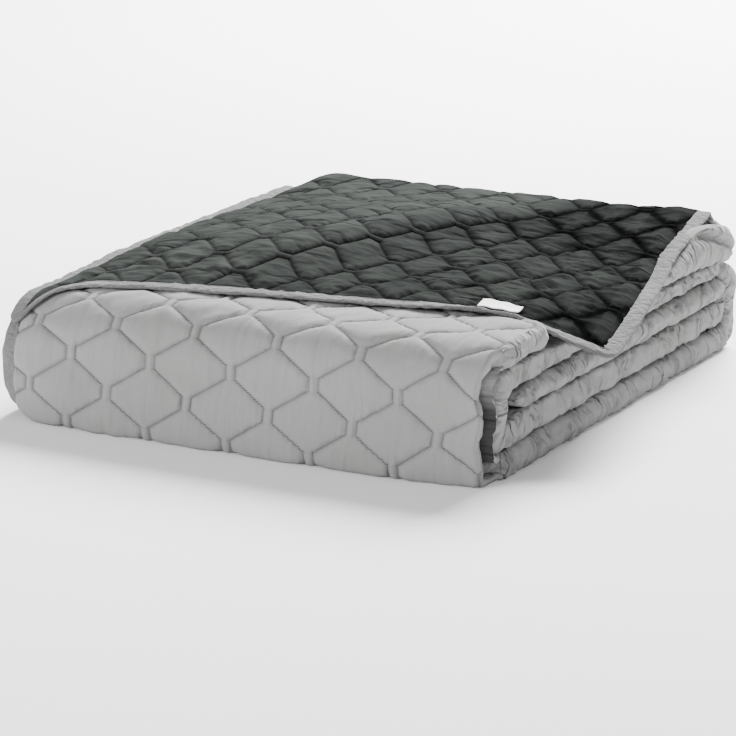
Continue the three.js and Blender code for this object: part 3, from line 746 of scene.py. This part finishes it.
def flap_across(x):
    """The share of the flap's front edge that lies left of x."""
    return (x - CLOTH_LEFT) / (FLAP_CORNER_RIGHT - CLOTH_LEFT)


def flap_front(across):
    """The front edge's y, pulled forward at its left corner."""
    corner = np.maximum(0, 1 - across / CORNER_PART)
    bow = FRONT_BOW * 4 * across * (1 - across)
    return lerp(*FRONT_EDGE_Y, across) - bow - CORNER_PULL * corner ** 2


def ridge(x, y):
    off = x - lerp(RIDGE_FRONT_X, RIDGE_BACK_X, (y - RIDGE_FRONT_Y) / (RIDGE_BACK_Y - RIDGE_FRONT_Y))
    width = np.where(off < 0, *RIDGE_WIDTHS)
    kept = lerp(1, RIDGE_AT_REAR, smooth(y, *RIDGE_REAR_ZONE))
    return RIDGE_HEIGHT * np.exp(-((off / width) ** 2)) * smooth(y, *RIDGE_FRONT_ZONE) * kept


def flap_height(x, y):
    """The flap's middle, which lies on the top layer and hangs down past its shoulder."""
    rest = top_surface(np.minimum(x, SHOULDER_X), np.maximum(y, FRONT_TURN_Y))
    inward = smooth(x, -HALF_WIDTH, -HALF_WIDTH + LEFT_EDGE_ZONE)
    radius = ROLL_TOP / 2
    before = np.clip(FRONT_TURN_Y - y, 0, 0.95 * radius)
    rounding = radius - np.sqrt(radius ** 2 - before ** 2)
    inside = y - flap_front(flap_across(x))
    front_lift = lerp(*FLAP_LIFT_FRONT, smooth(x, 120, 200))
    lift = lerp(front_lift, FLAP_LIFT, smooth(inside, 0, FLAP_LIFT_ZONE))
    loop = lerp(*LOOP_RISE, smooth(x, *LOOP_RISE_ZONE)) * smooth(y, *REAR_ZONE) * inward
    over = np.maximum(0, x - SHOULDER_X)
    hang = DROOP * lerp(1, DROOP_AT_REAR, smooth(y, *DROOP_REAR_ZONE))
    droop = hang * (np.sqrt(over ** 2 + DROOP_BEND ** 2) - DROOP_BEND) + rounding
    left_drop = LEFT_EDGE_DROP * np.maximum(0, LEFT_EDGE_X - x) ** 2
    return rest + HALF_PLY + lift + loop + inward * ridge(x, y) - droop - left_drop


def flap_point(across, deep):
    """across from the flap's left edge to its right, deep from its rear to its front edge."""
    right = lerp(FLAP_BACK_RIGHT, FLAP_CORNER_RIGHT, np.maximum(deep, 0) ** RIGHT_EDGE_POWER)
    right = right - RIGHT_EDGE_NOTCH * np.exp(-(((deep - NOTCH_PLACE) / NOTCH_WIDTH) ** 2))
    x = lerp(CLOTH_LEFT, right, across)
    front = flap_front(across)
    inside = (1 - deep) * FLAP_LENGTH
    extra = TOP_END_Y - front - FLAP_LENGTH
    y = front + inside + extra * smooth(inside, FLAP_LENGTH_ZONE, FLAP_LENGTH)
    return np.stack([x, y, flap_height(x, y)], -1)


def flap_normal(across, deep):
    step = 0.005
    a = np.clip(across, step, 1 - step)
    d = np.clip(deep, step, 1 - step)
    sideways = flap_point(a + step, d) - flap_point(a - step, d)
    forwards = flap_point(a, d + step) - flap_point(a, d - step)
    return unit(np.cross(forwards, sideways))


def flap_cloth(x, y):
    dx, dy = x - FLAP_NECK[0], y - FLAP_NECK[1]
    c, s = math.cos(FLAP_TURN), math.sin(FLAP_TURN)
    return -dx * s + dy * c, (dx * c + dy * s) * WAVE_PERIOD / FLAP_WAVE_PERIOD


def flap_wrinkle(x):
    return lerp(*FLAP_WRINKLE, smooth(x, 0, 150))


def flap_relief(x, y, u, v, edge_in):
    """Pillows, wrinkles and crests of the dark face, calm at its edges."""
    calm = smooth(edge_in, -4, 14) * lerp(0.25, 1, smooth(x - CLOTH_LEFT, 0, 30))
    calm = calm * lerp(1, 0.55, smooth(y, 150, TOP_END_Y))
    crest = lerp(*FLAP_CREST, smooth(x, 10, 160)) + FLAP_CREST_FRONT * smooth(y, -60, -150)
    crests = crest * crest_wrinkles(u, v) * (1 - np.exp(-seam_distance(u, v) / 4))
    relief = quilt_relief(u, v, FLAP_QUILT_HEIGHT, flap_wrinkle(x)) + crests
    return np.maximum(0.3 + calm * (relief - 0.3), -0.6)


def top_ply_point(x, y):
    out = OUTER_PLY * nose_size(STRIP_END_Y - y)
    point = bend(x, y, ROLL_TOP - ROLL_PITCH / 2 + out - FLOOR_SHIFT, 0.0)
    point[..., 2] -= nose_sag(y)
    return point


def loop_point(over, start_x, angle):
    """The rear loop's middle line, for angles from 90 degrees on top to -90 underneath."""
    x = lerp(over[..., 0], start_x, smooth(angle, *LOOP_WIDENING))
    under = top_ply_point(x, over[..., 1] + LOOP_UNDER)
    up = ((1 + math.sin(angle)) / 2) ** LOOP_FULLNESS
    y = lerp(under[..., 1], over[..., 1], up) + LOOP_REACH * math.cos(angle)
    return np.stack([x, y, lerp(under[..., 2], over[..., 2], up)], -1)


def outward_at(angle):
    return np.array([0, math.cos(angle), math.sin(angle)])


def loop_row(over, u, v, relief, step):
    """One row round the rear loop: its dark face, its rumpled light face, and their uv."""
    angle = math.pi / 2 - math.pi * step / (LOOP_ROWS + 1)
    across = np.linspace(0, 1, len(u))
    middle = loop_point(over, lerp(CLOTH_LEFT, LOOP_RIGHT, across), angle)
    deeper = u + (math.pi / 2 - angle) * LOOP_CLOTH_RADIUS
    swell = 0.55 * quilt_relief(deeper, v, FLAP_QUILT_HEIGHT, flap_wrinkle(over[:, 0]))
    swell = lerp(relief, swell, min(1, step / 4))
    rumple = 4.0 * smooth(middle[:, 0], 150, 215) * (SWAY(deeper / 13, v / 16) - 0.6)
    out = outward_at(angle)
    upper = middle + out * (HALF_PLY + swell)[:, None]
    lower = middle - out * (HALF_PLY + np.maximum(rumple, -1.0))[:, None]
    return upper[None], lower[None], cloth_uv(deeper, v)[None]


def tucked_row(u, v, back):
    """One row of the loop's end, which is hidden in the top layer."""
    across = np.linspace(0, 1, len(u))
    middle = top_ply_point(lerp(CLOTH_LEFT + 2, LOOP_RIGHT - 2, across), TOP_END_Y + LOOP_UNDER - back)
    half = np.array([0, 0, 0.5])
    return (middle - half)[None], (middle + half)[None], cloth_uv(u + 60 + back, v)[None]


def turned_ply(materials):
    """The ply that leaves the top layer at the rear and comes forward with its dark side up."""
    columns, rows = FLAP_GRID
    across, deep = np.meshgrid(np.linspace(0, 1, columns), np.linspace(1, 0, rows))
    middle = flap_point(across, deep)
    normal = flap_normal(across, deep)
    x, y = middle[..., 0], middle[..., 1]
    u, v = flap_cloth(x, y)
    edge_in = np.minimum(np.minimum(across, 1 - across) * FLAP_WIDTH, (1 - deep) * FLAP_LENGTH)
    relief = flap_relief(x, y, u, v, edge_in)
    upper = middle + normal * (HALF_PLY + relief)[..., None]
    lower = middle - normal * HALF_PLY
    parts = [(upper, lower, cloth_uv(u, v))]
    parts += [loop_row(middle[-1], u[-1], v[-1], relief[-1], step) for step in range(1, LOOP_ROWS + 1)]
    parts += [tucked_row(u[-1], v[-1], back) for back in TUCKED_ROWS]
    return slab("turned_ply", *[np.concatenate(grids) for grids in zip(*parts)], materials)


# Edge tapes

TAPE_TOP = [(-1.0, 0.62), (-0.86, 0.86), (-0.6, 0.94), (0.0, 1.0), (0.5, 0.96), (0.82, 0.74)]
TAPE_SECTION = [*TAPE_TOP, (1.0, 0.0), *[(across, -up) for across, up in TAPE_TOP[::-1]]]


def tape_ring_offsets(count, seed):
    """Places of the tape's puckered section, from its sewn edge out."""
    across, up = np.array(TAPE_SECTION).T
    s = np.arange(count)[:, None]
    pucker = value_noise(seed)
    half = (TAPE_WIDTH + TAPE_OVERLAP) / 2
    reach = half - TAPE_OVERLAP + across * half
    reach = reach + 1.3 * (pucker(s / 4.1, 3.0) - 0.5) * (across > 0.3)
    wave = 1.5 * (pucker(s / 1.6, across * 1.2) - 0.5)
    lift = up * (TAPE_THICKNESS / 2 + 0.3 + wave)
    lift = lift + 0.9 * (pucker(s / 5.3 + 11, 8.0) - 0.5)
    return reach, lift


def tape_uv(length, around):
    across = np.linspace(0, 1, around)
    return np.stack(np.broadcast_arrays(across, length / 1000), -1)


def strip_tape(name, out, seed, materials):
    rings = strip_rings()
    reach, lift = tape_ring_offsets(len(rings["y"]), seed)
    points = place_on_strip(rings, CLOTH_LEFT - TAPE_GAP - reach, out + lift)
    points[..., 2] = np.maximum(points[..., 2], 0.0)
    return sweep(name, points, tape_uv(rings["face"], points.shape[1]), materials)


def left_direction(y):
    return unit(np.array([-1.0, 0, lerp(*LEFT_TAPE_RISE, smooth(y, *LEFT_TAPE_ZONE))]))


def forward_direction(across):
    return unit(flap_point(across, 1.0) - flap_point(across, 0.98))


def right_direction(deep):
    return unit(flap_point(1.0, deep) - flap_point(0.99, deep))


def between(first, second, share):
    turn = share * math.pi / 2
    return unit(first * math.cos(turn) + second * math.sin(turn))


def flap_edge_frames():
    """Centres, outward and upward directions along the flap's free edges, from the rear left."""
    parts = []

    def add(across, deep, outward):
        parts.append((flap_point(across, deep), outward, flap_normal(across, deep)))

    for step in range(1, 12):
        angle = -math.pi / 2 + math.pi * step / 12
        at = loop_point(flap_point(0.0, 0.0), CLOTH_LEFT, angle)
        parts.append((at, left_direction(at[1]), outward_at(angle)))
    for deep in np.linspace(0, 1, 140)[:-2]:
        add(0.0, deep, left_direction(flap_point(0.0, deep)[1]))
    left = left_direction(flap_point(0.0, 1.0)[1])
    for share in np.linspace(0.15, 0.85, 5):
        add(0.0, 1.0, between(left, forward_direction(0.0), share))
    for across in np.linspace(0, 1, 170)[1:-1]:
        add(across, 1.0, forward_direction(across))
    for share in np.linspace(0.1, 0.9, 7):
        add(1.0, 1.0, between(forward_direction(1.0), right_direction(1.0), share))
    for deep in np.linspace(1, 0, 140)[1:]:
        add(1.0, deep, right_direction(deep))
    for step, reach in enumerate((0.9, 0.65, 0.4, 0.15), 1):
        angle = math.pi / 2 - math.pi * step / 14
        at = loop_point(flap_point(1.0, 0.0), LOOP_RIGHT, angle)
        parts.append((at, np.array([reach, 0, 0]), outward_at(angle)))
    return [np.array(column) for column in zip(*parts)]


def flap_tape(materials):
    centres, outward, upward = flap_edge_frames()
    reach, lift = tape_ring_offsets(len(centres), 71)
    centres, outward, upward = [column[:, None] for column in (centres, outward, upward)]
    points = centres + outward * reach[..., None] + upward * (lift + 0.5)[..., None]
    steps = np.linalg.norm(np.diff(centres, axis=0), axis=2)
    length = np.r_[[[0]], np.cumsum(steps, axis=0)]
    return sweep("tape_turned_ply", points, tape_uv(length, points.shape[1]), materials)


def woven_tag(materials):
    """The blank tag, sewn down along its front edge and standing up a little at its rear."""
    part = np.linspace(-0.5, 0.5, 46)[None]
    back = np.linspace(TAG_WIDTH, 0, 16)[:, None]
    across = flap_across(TAG_X + part * TAG_LENGTH) + 0 * back
    deep = 1 - (back - TAG_OVER_TAPE) / FLAP_LENGTH + 0 * part
    centre = flap_point(across, deep)
    normal = flap_normal(across, deep)
    curl = TAG_RISE * (back / TAG_WIDTH) ** 1.2 * (1 - 0.12 * (2 * part) ** 2) + 0.3 * np.sin(part * 15)
    rest = HALF_PLY + TAG_REST + curl
    upper = centre + normal * (rest + TAG_THICKNESS)[..., None]
    lower = centre + normal * rest[..., None]
    uv = np.stack(np.broadcast_arrays(part * TAG_LENGTH / 1000, back / 1000), -1)
    return slab("blank_tag", upper, lower, uv, materials, under_index=0)


# Materials. Object coordinates and the depths of bumps are in metres.

def grey(value):
    return (value, value, value, 1)


LIGHT_GREY = ((0.275, 0.275, 0.276, 1), (0.245, 0.245, 0.241, 1))
SHADED_GREY = (grey(0.06), grey(0.045))
CHARCOAL = ((0.046, 0.0496, 0.0468, 1), (0.033, 0.036, 0.034, 1))
TAPE_GREY = (grey(0.145), (0.18, 0.18, 0.178, 1))
TAPE_THREAD = grey(0.2)
TAG_WHITE = ((0.82, 0.82, 0.8, 1), (0.9, 0.9, 0.88, 1))
FLOOR_WHITE = (grey(0.9), grey(0.92))
FLOOR_GLOW = 0.05

# How seams, creases and crinkles are drawn. Widths are in millimetres and depths in metres, a scale
# is across and along the waves, and the rest are shares. A seam's shade and mix set how dark and how
# strong its line and the painted shade in its groove are, and a crinkle's mix sets its painted crease shade.
Seam = namedtuple("Seam", "shade mix width depth thread")
Creases = namedtuple("Creases", "scale depth")
Crinkle = namedtuple("Crinkle", "scale depth mix")


class Nodes:
    """A material's nodes, added one by one."""

    def __init__(self, name):
        self.material = bpy.data.materials.new(name)
        self.material.use_nodes = True
        self.tree = self.material.node_tree
        self.surface = self.tree.nodes["Principled BSDF"]

    def add(self, kind, settings=None, **inputs):
        node = self.tree.nodes.new(kind)
        for name, value in (settings or {}).items():
            setattr(node, name, value)
        for name, value in inputs.items():
            self.feed(node.inputs[name.replace("_", " ")], value)
        return node

    def feed(self, socket, value):
        if isinstance(value, bpy.types.NodeSocket):
            self.tree.links.new(value, socket)
        else:
            socket.default_value = value

    def math(self, operation, *values, clamp=False):
        node = self.add("ShaderNodeMath", {"operation": operation, "use_clamp": clamp})
        for socket, value in zip(node.inputs, values):
            self.feed(socket, value)
        return node.outputs[0]

    plus = partialmethod(math, "ADD")
    minus = partialmethod(math, "SUBTRACT")
    times = partialmethod(math, "MULTIPLY")

    def fade(self, value, reach=1.0):
        """1 where the value is 0, and falling off within the reach."""
        return self.math("POWER", 2.718, self.times(value, -1.0 / reach))

    def dashes(self, place, length):
        return self.math("LESS_THAN", self.math("FRACT", self.math("DIVIDE", place, length)), 0.62)

    def fit(self, value, low, high, to_low=0.0, to_high=1.0):
        ends = {"From_Min": low, "From_Max": high, "To_Min": to_low, "To_Max": to_high}
        return self.add("ShaderNodeMapRange", Value=value, **ends).outputs["Result"]

    def noise(self, vector, scale, detail=2.0, roughness=0.5):
        node = self.add("ShaderNodeTexNoise", Vector=vector, Scale=scale, Detail=detail, Roughness=roughness)
        return node.outputs["Fac"]

    def mix(self, factor, first, second):
        node = self.add("ShaderNodeMix", {"data_type": "RGBA"})
        for socket, value in zip((0, 6, 7), (factor, first, second)):
            self.feed(node.inputs[socket], value)
        return node.outputs[2]

    def place(self):
        return self.add("ShaderNodeTexCoord").outputs["Object"]

    def axes(self, vector):
        return self.add("ShaderNodeSeparateXYZ", Vector=vector).outputs

    def uv(self):
        return self.axes(self.add("ShaderNodeUVMap", {"uv_map": "cloth"}).outputs[0])[:2]

    def stretched_uv(self, across, along):
        u, v = self.uv()
        return self.add("ShaderNodeCombineXYZ", X=self.times(u, across), Y=self.times(v, along)).outputs[0]

    def bumps(self, *layers):
        """One bump on another, each with its height, depth and strength."""
        normal = {}
        for height, distance, strength in layers:
            node = self.add("ShaderNodeBump", Height=height, Distance=distance, Strength=strength, **normal)
            normal = {"Normal": node.outputs[0]}
        return normal["Normal"]

    def finish(self, colour, roughness, normal, **others):
        values = {"Base_Color": colour, "Roughness": roughness, "Normal": normal, "Specular_IOR_Level": 0.0}
        for name, value in {**values, **others}.items():
            self.feed(self.surface.inputs[name.replace("_", " ")], value)
        return self.material


# Painted shade: how strongly the dark cloth is darkened right of the ridge. It is stronger towards the rear
# and the right front corner, where the slopes face away from the light.
def painted_shade_right_of_ridge(nodes, place):
    x, y, _ = nodes.axes(place)
    slope = (RIDGE_BACK_X - RIDGE_FRONT_X) / (RIDGE_BACK_Y - RIDGE_FRONT_Y)
    start = (RIDGE_FRONT_X - slope * RIDGE_FRONT_Y + SHIFT[0] - slope * SHIFT[1]) / 1000
    off = nodes.minus(x, nodes.plus(nodes.times(y, slope), start))
    rear = nodes.fit(y, 0.03, 0.14, 0, 0.45)
    corner = nodes.fit(off, 0.2, 0.29, 0, 0.5)
    strength = nodes.plus(nodes.plus(rear, corner), 0.48)
    return nodes.times(nodes.fit(off, -0.01, 0.05), strength)


def crinkles(nodes, vector):
    level = nodes.noise(vector, 1.0, 2.0, 0.4)
    line = nodes.math("ABSOLUTE", nodes.minus(level, 0.5))
    kept = nodes.fit(nodes.noise(vector, 0.7, 1.0), 0.42, 0.58)
    return nodes.times(nodes.fit(line, 0.0, 0.09, 1, 0), kept)


def stitched_seam(nodes):
    """Distance in millimetres to the nearest seam, its stitches, and 1 on the slants that rise."""
    u, v = nodes.uv()
    a = nodes.math("PINGPONG", nodes.times(u, WAVE_PITCH), HALF_PITCH)
    b = nodes.math("PINGPONG", nodes.times(v, WAVE_PERIOD), HALF_PERIOD)
    line = nodes.fit(b, LOW, HIGH, NARROW, WIDE)
    stretch = math.hypot(1, (WIDE - NARROW) / (HIGH - LOW))
    slanting = nodes.times(nodes.math("GREATER_THAN", b, LOW), nodes.math("LESS_THAN", b, HIGH))
    squeeze = nodes.fit(slanting, 0, 1, 1, 1 / stretch)
    distance = nodes.times(nodes.math("ABSOLUTE", nodes.minus(a, line)), squeeze)
    along = nodes.times(b, nodes.fit(slanting, 0, 1, 1, stretch))
    thread = nodes.times(nodes.math("LESS_THAN", distance, 0.8), nodes.dashes(along, STITCH))
    halves = [nodes.math("FLOOR", nodes.times(coordinate, 2.0)) for coordinate in (u, v)]
    rising = nodes.times(nodes.math("PINGPONG", nodes.plus(*halves), 1.0), slanting)
    return distance, thread, rising


def cloth_normal(nodes, place, distance, thread, pinch, seam, creases, crinkle):
    """Bumps of the seams, creases, crinkles, gathers beside the seams, fibres and stitches."""
    weave = nodes.noise(place, 2600, 1)
    fibres = nodes.noise(place, 900, 3, 0.7)
    lines = nodes.noise(nodes.stretched_uv(*creases.scale), 1.0, 2.5, 0.5)
    gathers = nodes.times(nodes.noise(place, 210, 2), nodes.fade(distance, 5.0))
    valley = nodes.fade(distance, 1.8)
    return nodes.bumps(
        (nodes.minus(1.0, valley), seam.depth, 1.0),
        (lines, creases.depth, 0.8),
        (nodes.minus(1.0, pinch), crinkle.depth, 1.0),
        (gathers, 0.0016, 0.7),
        (nodes.plus(fibres, nodes.times(weave, 0.6)), 0.00022, 0.6),
        (thread, 0.0004, 0.8))


def quilted_cloth_material(name, colours, seam, creases, crinkle, painted_ridge_shade=False, lit_from=None):
    """lit_from is the height from which a shaded cloth is as light as the rest."""
    light, dark = colours
    nodes = Nodes(name)
    place = nodes.place()
    distance, thread, rising = stitched_seam(nodes)
    groove = nodes.math("POWER", nodes.math("DIVIDE", distance, seam.width), 2.0)
    mottle = nodes.noise(place, 160, 4, 0.6)
    colour = nodes.mix(nodes.fit(nodes.noise(place, 14, 3), 0.3, 0.7), dark, light)
    colour = nodes.mix(nodes.fit(mottle, 0.3, 0.75, 0, 0.35), colour, dark)
    # shade is the dark colour scaled by the seam's share. It colours the stitches and the painted shade in
    # the seam grooves and crinkle creases.
    shade = tuple(c * seam.shade for c in dark[:3]) + (1.0,)
    # Seam grooves: partly the seam's own dark line and partly painted groove shade. The shade is stronger on
    # the slants that fall than on those that rise.
    groove_mix = nodes.fit(rising, 0, 1, seam.mix, 0.6 * seam.mix)
    colour = nodes.mix(nodes.times(nodes.fade(groove), groove_mix), colour, shade)
    stitch_mix = nodes.fit(rising, 0, 1, 0.3 * seam.thread, seam.thread)
    colour = nodes.mix(nodes.times(thread, stitch_mix), colour, shade)
    # Painted shade in the creases of the crinkles.
    pinch = crinkles(nodes, nodes.stretched_uv(*crinkle.scale))
    colour = nodes.mix(nodes.times(pinch, crinkle.mix), colour, shade)
    # Painted shade on the dark cloth right of the ridge, deeper beside the seams.
    if painted_ridge_shade:
        beside = nodes.fit(nodes.fade(distance, 5.0), 0, 1, 0.6, 1.4)
        away = nodes.times(painted_shade_right_of_ridge(nodes, place), beside, clamp=True)
        colour = nodes.mix(away, colour, shade)
    if lit_from:
        height = nodes.axes(place)[2]
        colour = nodes.mix(nodes.fit(height, lit_from, lit_from + 0.02), colour, LIGHT_GREY[0])
    normal = cloth_normal(nodes, place, distance, thread, pinch, seam, creases, crinkle)
    return nodes.finish(colour, nodes.fit(mottle, 0.2, 0.8, 0.75, 0.85), normal)


def tape_material():
    nodes = Nodes("edge_tape_cloth")
    place = nodes.place()
    across, along = nodes.uv()
    broad = nodes.noise(place, 22, 3)
    colour = nodes.mix(nodes.fit(broad, 0.3, 0.7), *TAPE_GREY)
    off_row = nodes.math("ABSOLUTE", nodes.minus(nodes.math("PINGPONG", across, 0.5), 0.115))
    thread = nodes.times(nodes.math("LESS_THAN", off_row, 0.014), nodes.dashes(along, 0.003))
    colour = nodes.mix(nodes.times(thread, 0.5), colour, TAPE_THREAD)
    coarse, fine = nodes.noise(place, 190, 3, 0.6), nodes.noise(place, 1500, 3, 0.7)
    normal = nodes.bumps((coarse, 0.004, 0.9), (fine, 0.0002, 0.5), (thread, 0.0004, 0.8))
    return nodes.finish(colour, nodes.fit(broad, 0.2, 0.8, 0.66, 0.8), normal)


def tag_material():
    nodes = Nodes("woven_tag_cloth")
    across, along = nodes.uv()
    rib = nodes.math("PINGPONG", nodes.times(along, 1000 / 0.55), 0.5)
    warp = nodes.math("PINGPONG", nodes.times(across, 1000 / 0.4), 0.5)
    patch = nodes.noise(nodes.place(), 120, 3)
    colour = nodes.mix(nodes.fit(patch, 0.3, 0.7), *TAG_WHITE)
    normal = nodes.bumps((nodes.plus(rib, nodes.times(warp, 0.5)), 0.00018, 0.7))
    roughness = nodes.fit(patch, 0.2, 0.8, 0.5, 0.65)
    shine = {"Sheen_Weight": 0.1, "Sheen_Roughness": 0.4, "Specular_IOR_Level": 0.4}
    return nodes.finish(colour, roughness, normal, **shine)


def floor_material():
    nodes = Nodes("pale_floor")
    colour = nodes.mix(nodes.noise(nodes.place(), 3, 2), *FLOOR_WHITE)
    normal = nodes.bumps((nodes.noise(nodes.place(), 300, 2), 0.0001, 0.1))
    return nodes.finish(colour, 0.9, normal, Emission_Color=grey(1), Emission_Strength=FLOOR_GLOW)


# The surroundings: floor, light and camera. Places are in metres.

FLOOR_HALF = 14000
SKY = 0.5
LIGHT_TARGET = (0.0, 0.0, 0.06)
LIGHTS = [
    ("key", (-0.25, 2.6, 2.2), 1.9, 700),
    ("front", (-1.6, -2.6, 1.0), 1.6, 90),
    ("right", (2.6, -0.9, 1.2), 1.6, 14),
]
CAMERA_AZIMUTH = math.radians(27.6)
CAMERA_ELEVATION = math.radians(15.6)
CAMERA_DISTANCE = 3.176
FOCAL_PIXELS = 3622
IMAGE_PIXELS = 736
SENSOR = 36
PRINCIPAL = (386, 378)


def make_floor(material):
    signs = np.array([(-1, -1, 0), (1, -1, 0), (1, 1, 0), (-1, 1, 0)], float)
    corners = signs * FLOOR_HALF
    floor = make_mesh("floor", corners - SHIFT, [[0, 1, 2, 3]], corners[:, :2] / 1000, [0], [material])


def soft_light(name, place, size, power):
    data = bpy.data.lights.new(name, "AREA")
    data.shape = "DISK"
    data.size = size
    data.energy = power
    lamp = add_object(name, data)
    lamp.location = place
    lamp.rotation_euler = (Vector(LIGHT_TARGET) - Vector(place)).to_track_quat("-Z", "Y").to_euler()


def make_light():
    world = bpy.data.worlds.new("studio")
    bpy.context.scene.world = world
    world.use_nodes = True
    background = world.node_tree.nodes["Background"]
    background.inputs["Color"].default_value = (1, 1, 1, 1)
    background.inputs["Strength"].default_value = SKY
    for light in LIGHTS:
        soft_light(*light)


def make_camera():
    a, e = CAMERA_AZIMUTH, CAMERA_ELEVATION
    back = Vector((math.sin(a) * math.cos(e), -math.cos(a) * math.cos(e), math.sin(e)))
    right = Vector((math.cos(a), math.sin(a), 0))
    up = back.cross(right)
    data = bpy.data.cameras.new("photo_camera")
    data.sensor_width = SENSOR
    data.lens = FOCAL_PIXELS / IMAGE_PIXELS * SENSOR
    camera = add_object("photo_camera", data)
    camera.location = back * CAMERA_DISTANCE + Vector(SHIFT / 1000)
    aside, above = [(place - IMAGE_PIXELS / 2) / FOCAL_PIXELS for place in PRINCIPAL]
    aim = -back - aside * right + above * up
    camera.rotation_euler = aim.to_track_quat("-Z", "Y").to_euler()
    bpy.context.scene.camera = camera


light_cloth = quilted_cloth_material(
    "light_quilted_cloth", LIGHT_GREY, Seam(0.45, 0.3, 1.5, 0.002, 0.75),
    Creases((9.0, 1.3), 0.0026), Crinkle((4.0, 0.8), 0.0003, 0.0))
fold_cloth = quilted_cloth_material(
    "light_folded_cloth", LIGHT_GREY, Seam(0.5, 0.2, 2.0, 0.001, 0.0),
    Creases((6.0, 7.0), 0.006), Crinkle((4.0, 5.0), 0.0022, 0.45))
inner_cloth = quilted_cloth_material(
    "shaded_inner_cloth", SHADED_GREY, Seam(0.5, 0.1, 2.0, 0.001, 0.0),
    Creases((6.0, 7.0), 0.004), Crinkle((4.0, 5.0), 0.001, 0.2), lit_from=0.06)
dark_cloth = quilted_cloth_material(
    "dark_quilted_cloth", CHARCOAL, Seam(0.1, 0.95, 1.9, 0.0004, 0.0),
    Creases((5.0, 1.8), 0.005), Crinkle((2.6, 1.2), 0.002, 0.35), painted_ridge_shade=True)
tape_cloth = tape_material()
tag_cloth = tag_material()

panel = folded_strip([light_cloth, dark_cloth, fold_cloth, inner_cloth])
flap = turned_ply([dark_cloth, light_cloth])
tape_outer = strip_tape("tape_outer_ply", OUTER_PLY, 51, [tape_cloth])
tape_inner = strip_tape("tape_inner_ply", INNER_PLY, 61, [tape_cloth])
tape_turned = flap_tape([tape_cloth])
tag = woven_tag([tag_cloth])

for piece, slot, nodes in (
    (panel, "light_cloth", ["quilted_cloth"]),
    (flap, "light_cloth", ["quilted_cloth"]),
    (tape_outer, "edge_tape", ["edge_tape_outer_ply"]),
    (tape_inner, "edge_tape", ["edge_tape_inner_ply"]),
    (tape_turned, "edge_tape", ["edge_tape_flap"]),
    (tag, "woven_tag", ["woven_tag"]),
):
    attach(piece, "root")
    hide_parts(*nodes)

make_floor(floor_material())
make_light()
make_camera()
